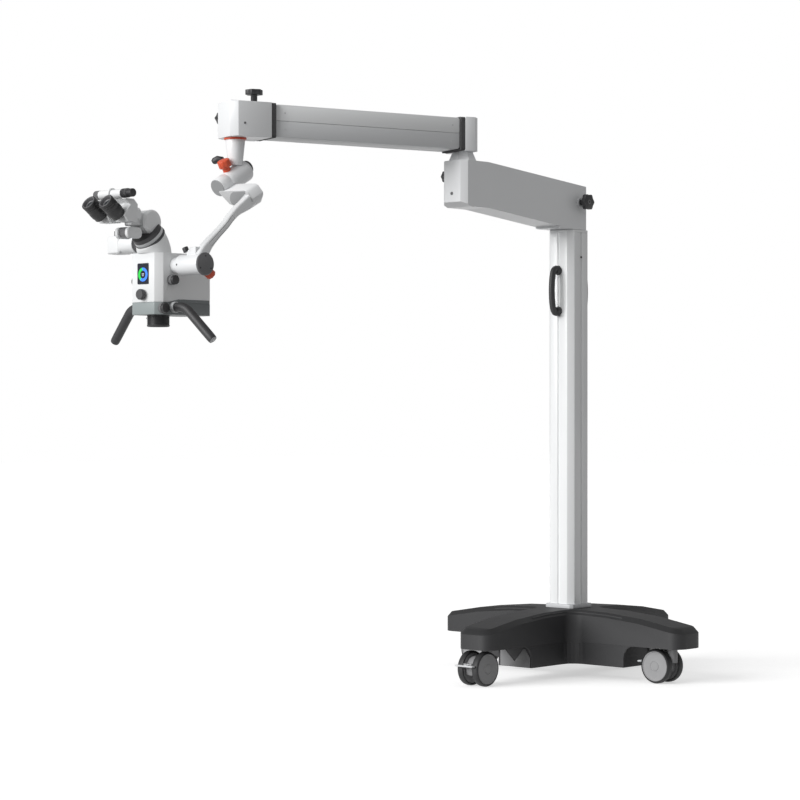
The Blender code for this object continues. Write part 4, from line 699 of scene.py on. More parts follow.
@dataclass
class SwingArm:
    """The housing on the column, its hub and its two lock knobs."""

    shop: Workshop
    panel_half: float = 10.9
    panel_rise: float = 6.6
    panel_top: float = 123.2
    panel_thickness: float = 0.8
    column_half: float = 47.5
    column_flat: float = 31.5
    column_gap_fill: float = 7.6

    def _close_slits(self) -> None:
        """Cover the open slits in the housing's front corners.

        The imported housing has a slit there, because its front chamfer cuts into the hollow.
        """
        half, top = self.panel_half, self.panel_top
        for side, word in ((1, "right"), (-1, "left")):
            corner = [(-half, self.panel_rise), (half, 0), (half, top), (-half, top)]
            if side < 0:
                corner = [(-u, v) for u, v in reversed(corner)]
            place = self.shop.layout.point(side * 37.0, -522.99, 1376.0)
            along = Vector((1, side, 0)).normalized()
            panel = self.shop.plate(corner, self.panel_thickness, place, along, UP, 0.3)
            self.shop.put(f"arm_corner_{word}", panel, WHITE_PAINT, "swing", "white_paint")

    def _fill_column_gap(self) -> None:
        """Lay a plate on the column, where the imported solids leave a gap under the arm."""
        half, flat = self.column_half, self.column_flat
        outline = [
            (-flat, -half), (flat, -half), (half, -flat), (half, flat), (flat, half), (-flat, half),
            (-half, flat), (-half, -flat),
        ]
        place = self.shop.layout.point(0, 0, 1320.7)
        head = self.shop.plate(outline, self.column_gap_fill, place, RIGHT, BACK, 0.6)
        self.shop.put("column_head", head, COLUMN_PAINT, "stand", "column_paint")

    def build(self) -> None:
        """Dress the arm."""
        shop, layout = self.shop, self.shop.layout
        shop.paint(WHITE_PAINT, "swing_arm")
        self._close_slits()
        self._fill_column_gap()
        shop.rounded("swing_lock_knob", BLACK, "swing_lock", "black_plastic", 1.2)
        shop.rounded("hub_lock_knob", BLACK, "hub_lock", "black_plastic", 0.9)
        edge = shop.plate(
            rounded_box(91.0, 7.2, 1.0), 1.6, layout.point(0, -98.4, 1334.2), RIGHT,
            UP, 0.3,
        )
        shop.put("bearing_edge", edge, RING_LIGHT, "swing", "white_paint")
        collar = shop.turned(
            [(0, 0), (14.5, 0), (14.5, 2.2), (13.8, 3.0), (0, 3.0)], layout.point(45.0, 0, 1410.5),
            RIGHT, 36,
        )
        shop.put("lock_collar", collar, RING_LIGHT, "swing", "white_paint")
        screw = shop.screw(layout.point(-2.5, -530.9, 1406.5), FRONT, 4.6, 1.8)
        shop.put("end_screw", screw, SMOKE, "swing", "steel")
        nut = shop.screw(layout.point(72.2, 0, 1410.5) + Vector((0.006, 0, 0)), RIGHT, 7.0, 1.6)
        shop.put("lock_knob_cap", nut, SMOKE, "swing_lock", "black_plastic")


@dataclass
class SpringArm:
    """The balanced arm: both blocks, gaskets, covers and what runs inside."""

    shop: Workshop

    def build(self) -> None:
        """Dress the arm."""
        shop, layout = self.shop, self.shop.layout
        shop.rounded("rear_block", WHITE_PAINT, "hub", "white_paint", 1.5, 2)
        shop.rounded("front_block", WHITE_PAINT, "front", "white_paint", 1.5, 2)
        self._gasket("rear_gasket", "hub")
        self._gasket("front_gasket", "front")
        shop.rounded("upper_cover", COVER_UPPER, "lift", "white_plastic", 0.8)
        shop.rounded("lower_cover", COVER_LOWER, "lift", "white_plastic", 0.8)
        shop.paint(STEEL, "arm_beam", "level_link")
        shop.paint(STRUT, "gas_spring")
        shop.rounded("front_lock_knob", BLACK, "front_lock", "black_plastic", 0.9)
        shop.rounded("lift_knob", BLACK, "lift_lock", "black_plastic", 1.2)
        way = layout.arm_way()
        right = Vector((-way.y, way.x, 0.0))
        screw = shop.screw(layout.arm_point(-3, 57.0, 1566), right, 3.2, 1.0)
        shop.put("block_screw", screw, SMOKE, "front", "steel")
        for name, along in (("rear", -648.0), ("front", -125.0)):
            for z in (1551.0, 1595.0):
                for side in (-1.0, 1.0):
                    rise = (along + 700.0) * 0.0079
                    place = layout.arm_point(along, side * 50.9, z + rise)
                    head = shop.screw(place, right * side, 2.6, 0.8)
                    word = "r" if side > 0 else "l"
                    shop.put(f"cover_screw_{name}_{int(z)}_{word}", head, RING_LIGHT, "lift", "steel")

    def _gasket(self, node: str, body: str) -> None:
        """Give a gasket its bellows folds."""
        shop = self.shop
        low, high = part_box(node)
        middle = (low + high) / 2
        way = shop.layout.arm_way()
        right = Vector((-way.y, way.x, 0.0))
        depth = 13.0
        rows = 9
        shape = bmesh.new()

        def loop(share: float, outline: Points) -> list[bmesh.types.BMVert]:
            """Add an outline at a share of the depth."""
            spot = middle + way * ((share - 0.5) * depth / 1000)
            return [shape.verts.new(spot + (right * u + UP * v) / 1000) for u, v in outline]

        rings = []
        for i in range(rows):
            share = i / (rows - 1)
            dip = 1.8 if i % 2 else 0.2
            rings.append(loop(share, rounded_box(113.6 - 2 * dip, 95.1 - 2 * dip, 6.0)))
        inner = [loop(share, rounded_box(94.5, 80.5, 2.5)) for share in (1.0, 0.0)]
        skin(shape, [*rings, *inner, rings[0]], ends=False)
        shop.put(f"{node}_bellows", shape, GASKET, body, "gasket_rubber", (node,), sharp=50)


@dataclass
class Suspension:
    """The collar, tapered spindle, inclined swivel and the yoke below it."""

    shop: Workshop

    def build(self) -> None:
        """Dress the suspension and the yoke."""
        shop, layout = self.shop, self.shop.layout
        shop.rounded("collar_ring", ORANGE, "yaw", "orange_plastic", 0.8)
        shop.rounded("spindle_cone", WHITE_PAINT, "yaw", "white_paint", 0.8)
        self._swivel()
        self._faceted("roll_knob", "roll_friction_turn", "roll_friction", 17.5, 25.0, 8.5)
        self._faceted("tilt_knob", "tilt_friction_turn", "tilt_friction", 13.6, 22.0)
        self._yoke()
        tube = [
            (0, 61.0), (20.0, 61.0), (21.0, 62.0), (21.0, 82.0), (25.6, 83.4), (27.0, 85.0), (27.5, 88.0),
            (27.5, 166.6), (26.6, 168.6), (0, 168.6),
        ]
        shell = shop.turned(tube, shop.layout.places["head_tilt"], RIGHT, 64)
        shop.put("tilt_tube", shell, WHITE_PAINT, "roll", "white_paint", ("tilt_housing",))
        self._end_caps()

    def _inclined(self, x: float, along: float, over: float) -> Vector:
        """Return a place by the swivel: to the right, along its axis and over it, in millimetres."""
        roll = self.shop.layout.axes["head_roll"]
        up = RIGHT.cross(roll) * -1.0
        return self.shop.layout.places["head_roll"] + (Vector((x, 0, 0)) + roll * along + up * over) / 1000

    def _swivel(self) -> None:
        """Turn the swivel's barrel and its sleeve, and bend the lever."""
        shop, layout = self.shop, self.shop.layout
        centre, roll = layout.places["head_roll"], layout.axes["head_roll"]
        barrel = [
            (0, -46), (23.5, -46), (26.4, -45), (28.4, -42.5), (29.3, -38), (29.4, -18), (29.0, 0),
            (28.0, 15), (26.6, 28), (25.4, 36.6), (24.8, 37.5), (0, 37.5),
        ]
        shop.put(
            "swivel_barrel", shop.turned(barrel, centre, roll, 64), WHITE_PAINT, "yaw", "white_paint",
            ("swivel_housing",),
        )
        sleeve = [(0, 37.9), (24.8, 37.9), (25.2, 38.6), (25.0, 72.0), (24.2, 73.4), (0, 73.4)]
        shop.put("swivel_sleeve", shop.turned(sleeve, centre, roll, 64), WHITE_PAINT, "roll", "white_paint")
        bends = (
            (-23, -3, 6), (-25, -7, 22), (-29, -12, 38), (-36, -17, 48), (-45, -22, 49), (-54, -27, 44),
            (-58, -29, 41),
        )
        path = [centre + Vector(bend) / 1000 for bend in bends]
        sizes = (0.5, 0.5, 0.62, 0.9, 1.0, 0.95, 0.6)
        lever = shop.swept(path, rounded_box(19.0, 17.0, 7.0), BACK, sizes)
        shop.put("clamp_lever", lever, BLACK, "roll_lock", "black_plastic", ("roll_lever",), sharp=50)

    def _yoke(self) -> None:
        """Build the inclined bracket with a grey sheet of painted shade on its front, its panel, and the
        slender arm down to the tilt housing, with a border of painted shade round the arm's inset strip.
        """
        shop, layout = self.shop, self.shop.layout
        centre, roll = layout.places["head_roll"], layout.axes["head_roll"]
        right = RIGHT
        up = right.cross(roll) * -1.0
        outline = [
            (5, -8), (100, -12), (109, -18), (117, -38), (114, -46), (96, -66), (84, -70), (39, -52.5),
            (26, -47.5), (2, -12),
        ]
        block = shop.plate(outline, 46.0, self._inclined(0, 31.0, 0), right, up, 3.2)
        shop.put("yoke_bracket", block, WHITE_PAINT, "roll", "white_paint")
        # A thin grey sheet over the bracket's front face: painted shade on the same white moulding.
        front = shop.plate(outline, 0.6, self._inclined(0, 76.7, 0), right, up, 0.3)
        shop.put("yoke_face_painted_shade", front, BRACKET_PAINTED_SHADE, "roll", "white_paint")
        panel = [
            (101, -14.0), (99, -21), (72, -35), (44, -50), (39, -51), (34.8, -46), (33.6, -38), (37, -28),
            (45, -18.5), (56, -13.4),
        ]
        face = shop.plate(panel, 0.8, self._inclined(0, 77.1, 0), right, up, 0.3)
        shop.put("yoke_panel", face, MID_GREY, "roll", "grey_plastic")
        stations = (
            (97, -34, -66, 34), (104, -58, -80, 33), (111, -84, -93, 29), (119, -112, -106, 24),
            (127, -142, -126, 21), (134, -169, -148, 20), (141, -206, -175, 20.5), (147, -238, -199, 25),
            (150, -258, -219, 31), (152, -270, -237, 36),
        )
        self._limb("yoke_limb", centre, stations, 24.0, 6.5, 0.0, WHITE_PAINT, ("yoke_arm",))
        inset = [(x, y, z, 9.0) for x, y, z, _ in stations[4:8]]
        first, last = inset[0], inset[-1]
        inset.insert(0, (first[0], first[1] + 4, first[2] + 4, 4.0))
        inset.append((last[0], last[1] - 4, last[2] - 4, 4.0))
        # A darker grey border round the inset strip: painted shade along the edge of the recess.
        painted_shade_edging = [(x, y, z, width + 3.5) for x, y, z, width in inset]
        self._limb("yoke_recess_painted_shade", centre, painted_shade_edging, 1.4, 0.5, 11.6, MID_GREY, ())
        self._limb("yoke_inset", centre, inset, 1.4, 0.5, 12.1, WHITE_PAINT, ())
        foot = layout.places["head_tilt"] + Vector((0.116, 0.013, 0.021))
        pad = shop.plate([(0, 0), (34, 0), (34, 24), (13, 24), (0, 11)], 26.0, foot, right, UP, 2.2)
        shop.put("yoke_foot", pad, WHITE_PAINT, "roll", "white_paint")

    def _limb(
        self,
        name: str,
        origin: Vector,
        stations: Sequence[tuple[float, float, float, float]],
        thickness: float,
        corner: float,
        aside: float,
        finish: Finish,
        stands_for: Sequence[str],
    ) -> None:
        """Carry a rounded section along smoothed stations.

        Args:
            name: The piece's name.
            origin: Where the stations are measured from.
            stations: Places and widths in millimetres.
            thickness: The section's size from left to right.
            corner: The section's corner radius.
            aside: How far the section stands to the right of the stations.
            finish: What it is made of.
            stands_for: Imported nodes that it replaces.
        """
        shape = bmesh.new()
        spots = []
        for i in range(len(stations) - 1):
            around = [Vector(stations[min(max(j, 0), len(stations) - 1)]) for j in range(i - 1, i + 3)]
            for k in range(4):
                t = k / 4
                spots.append(
                    0.5 * (
                        2 * around[1] + (around[2] - around[0]) * t
                        + (2 * around[0] - 5 * around[1] + 4 * around[2] - around[3]) * t * t
                        + (3 * around[1] - around[0] - 3 * around[2] + around[3]) * t * t * t
                    )
                )
        spots.append(Vector(stations[-1]))
        rows = []
        for i, spot in enumerate(spots):
            before, after = spots[max(i - 1, 0)], spots[min(i + 1, len(spots) - 1)]
            way = Vector((0, after.y - before.y, after.z - before.z)).normalized()
            across = Vector((0, -way.z, way.y))
            row = []
            for u, v in rounded_box(thickness, spot.w, corner):
                place = Vector((spot.x + aside + u, spot.y, spot.z)) + across * v
                row.append(shape.verts.new(origin + place / 1000))
            rows.append(row)
        skin(shape, rows)
        self.shop.put(name, shape, finish, "roll", "white_paint", stands_for, sharp=45)

    def _faceted(
        self, node: str, joint: str, body: str, radius: float, height: float, lift: float = 0.0
    ) -> None:
        """Build a friction knob with finger flutes, lifted off its seat by a stub."""
        shop = self.shop
        axis = shop.layout.axes[joint]
        place = shop.layout.places[joint] + axis * (lift / 1000)
        shape = bmesh.new()
        turn = axis.to_track_quat("Z", "Y")
        rows = []
        flutes, count = 9, 72
        levels = (
            (0.6, -lift), (0.62, 3.4), (0.93, 4.0), (1.0, 5.5), (1.0, height - 2.6),
            (0.92, height - 0.7), (0.7, height),
        )
        for share, z in levels:
            flute = 0.9 if share > 0.9 else 0.0
            dips = [(0.5 + 0.5 * math.cos(flutes * 2 * math.pi * i / count)) ** 3 for i in range(count)]
            rows.append(ring_at(shape, place, turn, [radius * share - flute * dip for dip in dips], z))
        skin(shape, rows)
        shop.put(f"{node}_fluted", shape, ORANGE, body, "orange_plastic", (node,), sharp=45)

    def _end_caps(self) -> None:
        """Fit the grey caps on the swivel and the tilt housing."""
        shop, layout = self.shop, self.shop.layout
        roll = layout.axes["head_roll"]
        end = layout.places["head_roll"] + roll * 0.0733
        cap = shop.turned([(0, 0), (23.5, 0), (23.5, 1.0), (22.6, 1.8), (0, 2.2)], end, roll, 48)
        shop.put("swivel_cap", cap, MID_GREY, "roll", "grey_plastic")
        knurl = shop.ribbed(self._inclined(6, 0, 6), -roll, 19.5, 44.0, 51.0, 40)
        shop.put("swivel_knurl", knurl, BLACK, "yaw", "black_plastic")
        low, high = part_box("tilt_cap")
        place = Vector((low.x, (low.y + high.y) / 2, (low.z + high.z) / 2))
        profile = [
            (0, 0), (29.6, 0), (30.0, 0.6), (30.0, 4.0), (29.0, 5.4), (27.0, 6.0), (26.0, 5.5), (0, 5.5),
        ]
        disc = shop.turned(profile, place, RIGHT, 56)
        shop.put("tilt_end_disc", disc, SMOKE, "roll", "grey_plastic", ("tilt_cap",))
        for number in range(3):
            angle = math.radians(90 + 120 * number)
            spot = place + Vector((0.0054, 0.021 * math.cos(angle), 0.021 * math.sin(angle)))
            shop.put(
                f"tilt_disc_screw_{number}", shop.screw(spot, RIGHT, 2.2, 0.7), BLACK, "roll",
                "black_plastic",
            )
        spot = layout.places["head_tilt"] + Vector((0.094, -0.0276, 0.0))
        shop.put("tilt_set_screw", shop.screw(spot, FRONT, 2.4, 0.7), BLACK, "roll", "black_plastic")
        centre = layout.places["head_tilt"]
        up = Vector((-0.35, -0.2, 0.92)).normalized()
        foot = centre + Vector((0.123, 0.0, 0.0)) + up * 0.0262
        stem = shop.turned([(0, 0), (3.2, 0), (3.2, 14), (0, 14)], foot, up, 20)
        shop.put("stop_stem", stem, STEEL, "roll", "steel")
        knob = shop.turned(
            [(0, 10), (7.4, 10), (8.2, 11), (8.2, 21), (7.2, 23), (0, 23.4)], foot, up, 12
        )
        shop.put("stop_knob", knob, BLACK, "roll", "black_plastic")


@dataclass
class Head:
    """The optics body with its screen, knobs, band, grips and objective."""

    shop: Workshop
    half: float = 59.5
    front: float = 59.0
    bottom: float = 128.0
    band: float = 32.0

    def spot(self, x: float, y: float, z: float) -> Vector:
        """Return a place measured from the tilt axis, in millimetres."""
        return self.shop.layout.places["head_tilt"] + Vector((x, y, z)) / 1000

    def build(self) -> None:
        """Dress the head."""
        shop = self.shop
        shop.rounded("optics_body", WHITE_PLASTIC, "head", "white_plastic", 1.4, 2)
        self._band()
        self._screen()
        self._knobs()
        self._grips()
        self._objective()
        self._camera_arm()

    def _band(self) -> None:
        """Paint the band in two tones: pale in front, dark along the sides."""
        shop = self.shop
        front = self.spot(0, -self.front, 0).y

        def tone(shape: bmesh.types.BMesh) -> None:
            """Give the faces behind the front the dark tone."""
            for face in shape.faces:
                middle = face.calc_center_median()
                if middle.y > front + 0.012:
                    face.material_index = 1

        shop.rounded("base_band", BAND_FRONT, "head", "band_plastic", 1.0, 2, refine=tone)
        piece = bpy.data.objects["base_band_dressed"]
        piece.data.materials.append(BAND_SIDE.material())
        for side, word in ((-1.0, "left"), (1.0, "right")):
            outline = [(-49.5, 0), (121.0, 0), (121.0, 8.6), (10.0, 8.6), (-26.0, 0.6)]
            if side < 0:
                outline = [(-u, v) for u, v in outline][::-1]
            across = Vector((0, side, 0))
            place = self.spot(side * (self.half - 0.4), 0, -self.bottom + self.band - 0.4)
            step = shop.plate(outline, 0.9, place, across, UP, 0.2)
            shop.put(f"band_step_{word}", step, BAND_SIDE, "head", "band_plastic")

    def _screen(self) -> None:
        """Set the display in the front face, with a plain two-colour dial."""
        shop = self.shop
        across, up = RIGHT, UP
        middle = (0.0, -self.front, -21.5)
        bezel = shop.plate(rounded_box(44, 55, 3.0), 0.7, self.spot(*middle), across, up, 0.3)
        shop.put("screen_bezel", bezel, RING_DARK, "head", "black_plastic")
        seat = self.spot(0, -self.front - 0.5, -21.5)
        glass = shop.plate(rounded_box(41.5, 52.5, 1.8), 0.5, seat, across, up)
        shop.put("screen_glass", glass, SCREEN, "head", "black_plastic")
        dial_z = -23.5
        for name, finish, start, end in (
            ("green", SCREEN_GREEN, 100.0, 235.0), ("blue", SCREEN_BLUE, -125.0, 100.0)
        ):
            outer = ring_points(18.0, 40, start, end)
            inner = ring_points(10.5, 40, start, end)[::-1]
            sector = shop.plate(
                outer + inner, 0.25, self.spot(0, -self.front - 0.95, dial_z), across, up
            )
            shop.put(f"dial_{name}", sector, finish, "head", "black_plastic")
        for name, z, width in (("mark_top", 1.5, 9.0), ("mark_low", -3.0, 6.0)):
            mark = shop.plate(
                rounded_box(width, 2.0, 0.8), 0.25, self.spot(0, -self.front - 0.95, dial_z + z), across, up
            )
            shop.put(f"screen_{name}", mark, SCREEN_PALE, "head", "black_plastic")

    def _knobs(self) -> None:
        """Build the front knob, the ribbed magnification knobs and the band knob."""
        shop, layout = self.shop, self.shop.layout
        place = layout.places["focus_turn"]
        profile = [
            (0.0, 0.0), (9.0, 0.0), (9.0, 2.6), (13.6, 3.0), (14.0, 4.2), (14.0, 12.0), (12.6, 14.2),
            (0.0, 14.8),
        ]
        shop.put(
            "front_knob", shop.turned(profile, place, FRONT, 48), KNOB_GREY, "focus",
            "black_plastic", ("focus_knob",),
        )
        shaft = layout.places["magnification_turn"]
        axle = shop.turned([(0, -61), (4.4, -61), (4.4, 61), (0, 61)], shaft, RIGHT, 20)
        shop.put("zoom_shaft", axle, STEEL, "magnification", "steel", ("magnification_knob",))
        drum = shop.turned([(0, -30), (34, -30), (34, 30), (0, 30)], shaft, RIGHT, 48)
        shop.put("zoom_drum", drum, SMOKE, "magnification", "black_plastic")
        for side, word in ((-1.0, "left"), (1.0, "right")):
            way = Vector((side, 0, 0))
            start = shaft + way * (self.half / 1000)
            shop.put(
                f"zoom_knob_{word}", shop.ribbed(start, way, 13.0, 0.4, 13.0, 36), SMOKE, "magnification",
                "black_plastic",
            )
            cap = shop.turned(dome_profile(12.2, 8.6, 1.4), start + way * 0.0126, way, 40)
            shop.put(f"zoom_cap_{word}", cap, BLACK, "magnification", "black_plastic")
        place = layout.places["band_knob_turn"]
        way = RIGHT
        shop.put(
            "band_knob_skirt", shop.ribbed(place, way, 14.4, 0.2, 9.0, 32), SMOKE, "band",
            "black_plastic", ("band_knob",),
        )
        cap = shop.turned(dome_profile(13.2, 9.0, 1.6), place + way * 0.0088, way, 40)
        shop.put("band_knob_cap", cap, BLACK, "band", "black_plastic")

    def _grips(self) -> None:
        """Bend both hand grips out and down, with their rings and end caps."""
        shop, layout = self.shop, self.shop.layout
        for word, side in (("left", -1.0), ("right", 1.0)):
            place = layout.places[f"grip_{word}_turn"]
            body = "grip_l" if side < 0 else "grip_r"
            bend, out, drop = 20.0, 43.5, 88.0
            lean = Matrix.Rotation(math.radians(10.3), 3, "X")
            radius = bend / math.tan(math.radians(22.5))
            line = [(0.0, 0.0), (8.0, 0.0), (16.0, 0.0), (out - bend, 0.0)]
            for i in range(1, 11):
                angle = math.radians(4.5 * i)
                line.append((out - bend + radius * math.sin(angle), -radius * (1 - math.cos(angle))))
            last = line[-1]
            for share in (0.15, 0.5, 0.85, 0.96, 1.0):
                line.append((last[0] + (out + drop - last[0]) * share, last[1] + (-drop - last[1]) * share))
            sizes = [0.94, 0.95, 0.97] + [1.0] * 11 + [1.0, 1.0, 1.0, 0.97, 0.9]
            path = [place + lean @ Vector((side * x, 0, z)) / 1000 for x, z in line]
            tube = shop.swept(path, ring_points(12.5, 32), lean @ BACK, sizes[: len(path)])
            shop.put(f"hand_grip_{word}", tube, GRIP, body, "grip_plastic", (f"grip_{word}",), sharp=50)
            way = Vector((side, 0, 0))
            collar = shop.turned(
                [(0, 0), (14.0, 0), (14.6, 0.8), (14.6, 9.0), (13.4, 10.4), (0, 10.4)], place, way, 40
            )
            tone = RING_LIGHT if side > 0 else RING_DARK
            shop.put(f"grip_collar_{word}", collar, tone, body, "grip_plastic")
            end, before = path[-1], path[-3]
            slope = (end - before).normalized()
            cap = shop.turned([(0, -1), (9.6, -1), (9.6, 0.4), (8.8, 0.9), (0, 0.9)], end, slope, 36)
            shop.put(f"grip_end_{word}", cap, RING_LIGHT if side > 0 else BLACK, body, "grip_plastic")

    def _objective(self) -> None:
        """Turn the ribbed focusing barrel and its lens."""
        shop, layout = self.shop, self.shop.layout
        place = layout.places["objective_focus"]
        down = DOWN
        profile: Points = [(23.0, -11.5), (29.8, -11.5), (29.8, 1.5)]
        for i in range(8):
            z = 3.0 + i * 2.9
            profile += [(29.8, z), (28.6, z + 0.7), (28.6, z + 1.6), (29.8, z + 2.2)]
        profile += [(29.8, 28.5), (28.4, 30.8), (26.0, 31.0), (24.6, 28.0), (23.0, 24.0), (23.0, -11.5)]
        shop.put(
            "focus_barrel", shop.turned(profile, place, down, 72), BLACK, "objective", "black_plastic",
            ("objective_barrel",),
        )
        lens = [(0.0, 21.0), (22.8, 21.0), (22.8, 24.0), (16.0, 25.6), (8.0, 26.4), (0.0, 26.7)]
        shop.put(
            "front_lens", shop.turned(lens, place, down, 48), GLASS_DARK, "objective", "lens_glass",
            ("objective_lens",),
        )
        screw = shop.screw(place + Vector((-0.019, -0.0226, -0.0085)), Vector((-0.64, -0.76, 0)), 2.2, 2.0)
        shop.put("barrel_screw", screw, RING_LIGHT, "objective", "steel")

    def _camera_arm(self) -> None:
        """Dress the camera arm and put its dark ring on."""
        shop = self.shop
        shop.rounded("camera_arm", WHITE_PLASTIC, "head", "white_plastic", 0.8)
        start = self.spot(-63.5, -21.0, 60.0)
        ring = shop.turned(
            [(20.0, 0), (21.6, 0), (22.4, 1.5), (22.4, 30.0), (21.6, 32.0), (20.0, 32.0), (20.0, 0)], start,
            RIGHT, 48,
        )
        shop.put("camera_ring", ring, RING_DARK, "head", "black_plastic")
        lens = shop.turned(
            [(0, 0), (17, 0), (17, 1.0), (15, 1.4), (13, 0.6), (0, 0.6)], self.spot(-161.5, -21.0, 60.0),
            LEFT, 40,
        )
        shop.put("camera_port", lens, SMOKE, "head", "black_plastic")
        box = shop.plate(
            rounded_box(50.0, 40.0, 3.0), 13.0, self.spot(-112.0, -21.0, 83.8), RIGHT,
            BACK, 1.5,
        )
        shop.put("camera_box", box, SMOKE, "head", "black_plastic")


@dataclass
class Binocular:
    """The elbow, the ring stack, the inclinable tube, prisms and eyepieces."""

    shop: Workshop

    def spot(self, x: float, y: float, z: float) -> Vector:
        """Return a place measured from the tilt axis, in millimetres."""
        return self.shop.layout.places["head_tilt"] + Vector((x, y, z)) / 1000

    def build(self) -> None:
        """Dress everything above the optics body."""
        shop = self.shop
        self._elbow()
        shop.rounded("binocular_base", WHITE_PLASTIC, "binocular_turn", "white_plastic", 3.6, 4)
        shop.rounded("binocular_tube", WHITE_PLASTIC, "binocular_tilt", "white_plastic", 1.6, 3)
        for word, short in (("left", "l"), ("right", "r")):
            shop.rounded(f"prism_{word}", WHITE_PLASTIC, f"prism_{short}", "white_plastic", 5.0, 4)
            self._eyepiece(word, short)
        across, up = BACK, UP
        place = self.spot(-19.0, -106.0, 84.0)
        core = shop.plate(rounded_box(44.0, 26.0, 8.0, 6), 38.0, place, across, up, 2.0)
        shop.put("tube_core", core, SMOKE, "binocular_turn", "black_plastic")
        for side, word in ((-24.0, "left"), (15.0, "right")):
            cheek = shop.plate(
                rounded_box(52.0, 29.0, 12.5, 8), 9.0, self.spot(side, -109.0, 82.0), across, up, 3.0
            )
            shop.put(f"tube_cheek_{word}", cheek, WHITE_PLASTIC, "binocular_turn", "white_plastic")
        self._spacing_bar()

    def _elbow(self) -> None:
        """Carry a round section from the body's top to the inclined ring."""
        shop = self.shop
        shape = bmesh.new()
        rows = []
        steps = 12
        for i in range(steps + 1):
            share = i / steps
            lean = math.radians(45) * share ** 1.15
            bulge = 5.0 * math.sin(share * math.pi)
            y = -20.0 - 17.0 * share ** 1.3 + bulge * 0.2
            z = 32.9 + (74.5 - 32.9) * share
            radius = 45.0 - 4.0 * share ** 2
            row = []
            for j in range(56):
                angle = 2 * math.pi * j / 56
                x, along = radius * math.cos(angle), radius * math.sin(angle)
                place = self.spot(x, y + along * math.cos(lean), z + along * math.sin(lean))
                row.append(shape.verts.new(place))
            rows.append(row)
        skin(shape, rows)
        shop.put("elbow_shell", shape, WHITE_PLASTIC, "head", "white_plastic", ("elbow",), sharp=50)
        normal = Vector((0, -math.sqrt(0.5), math.sqrt(0.5)))
        centre = shop.layout.places["binocular_rotation"]
        dark = [
            (39.0, -7.0), (42.6, -7.0), (43.2, -6.2), (43.0, -0.8), (42.2, 0.0), (39.0, 0.0), (39.0, -7.0),
        ]
        light = [
            (40.8, 0.4), (41.4, 0.4), (41.8, 1.0), (41.8, 8.4), (41.2, 9.0), (40.8, 9.0), (40.8, 0.4),
        ]
        rim = [
            (40.8, 9.2), (41.3, 9.2), (41.4, 18.6), (40.4, 20.6), (36.0, 21.6), (0.0, 21.8), (0.0, 20.6),
            (36.0, 20.2), (40.8, 18.0), (40.8, 9.2),
        ]
        for name, profile, finish, body, slot in (
            ("elbow_ring", dark, RING_DARK, "head", "black_plastic"),
            ("turn_ring_light", light, RING_LIGHT, "binocular_turn", "white_plastic"),
            ("turn_ring_dark", rim, RING_DARK, "binocular_turn", "black_plastic"),
        ):
            shop.put(name, shop.turned(profile, centre, normal, 64), finish, body, slot)

    def _eyepiece(self, word: str, short: str) -> None:
        """Turn one eyepiece: barrel, dioptre ring, eyecup and lens."""
        shop, layout = self.shop, self.shop.layout
        place, axis = layout.places[f"dioptre_{word}"], layout.axes[f"dioptre_{word}"]
        body = f"eye_{short}"
        barrel = [
            (0.0, 0.4), (19.4, 0.4), (19.8, 1.2), (19.8, 9.0), (20.6, 11.0), (21.3, 12.0), (21.3, 26.0),
            (20.2, 28.0), (20.2, 30.0), (20.9, 31.0), (20.9, 39.0), (20.0, 40.0), (20.0, 41.0), (21.0, 42.0),
            (21.0, 46.0), (20.2, 47.0), (20.2, 48.0), (21.4, 49.4), (21.6, 53.0), (20.8, 55.6), (18.6, 56.6),
            (16.4, 56.0), (14.2, 51.0), (13.4, 46.0), (0.0, 46.0),
        ]
        shop.put(
            f"barrel_{word}", shop.turned(barrel, place, axis, 64, (20, 21, 22)), EYECUP, body,
            "black_plastic", (f"eyepiece_{word}",), (RIM,),
        )
        seat = [(9.6, 46.0), (13.3, 46.2), (13.3, 48.4), (12.0, 49.0), (9.6, 47.6), (9.6, 46.0)]
        shop.put(f"lens_seat_{word}", shop.turned(seat, place, axis, 48), SMOKE, body, "black_plastic")
        lens = [(0.0, 46.2), (9.8, 46.2), (9.8, 46.8), (6.0, 47.6), (0.0, 48.0)]
        shop.put(f"eye_lens_{word}", shop.turned(lens, place, axis, 40), GLASS_DARK, body, "lens_glass")

    def _spacing_bar(self) -> None:
        """Turn the bar above the eyepieces and its two knobs."""
        shop, layout = self.shop, self.shop.layout
        centre = layout.places["spacing_turn"]
        way = RIGHT
        bar = [(0, -43.5), (11.0, -43.5), (11.4, -43.0), (11.4, 43.0), (11.0, 43.5), (0, 43.5)]
        shop.put(
            "spacing_tube", shop.turned(bar, centre, way, 40), WHITE_PLASTIC, "spacing", "white_plastic",
            ("spacing_bar",),
        )
        shop.put(
            "spacing_knob_left", shop.ribbed(centre, -way, 11.9, 43.0, 61.8, 28), SMOKE, "spacing",
            "black_plastic",
        )
        shop.put(
            "spacing_knob_right", shop.ribbed(centre, way, 12.2, 43.0, 65.0, 28), BLACK, "spacing",
            "black_plastic",
        )
        cap = shop.turned(dome_profile(10.8, 18.0, 1.6), centre + way * 0.0648, way, 36)
        shop.put("spacing_knob_cap", cap, BLACK, "spacing", "black_plastic")
        screw = shop.screw(centre + Vector((-0.004, -0.0113, 0.0)), FRONT, 1.8, 0.5)
        shop.put("spacing_screw", screw, BLACK, "spacing", "black_plastic")


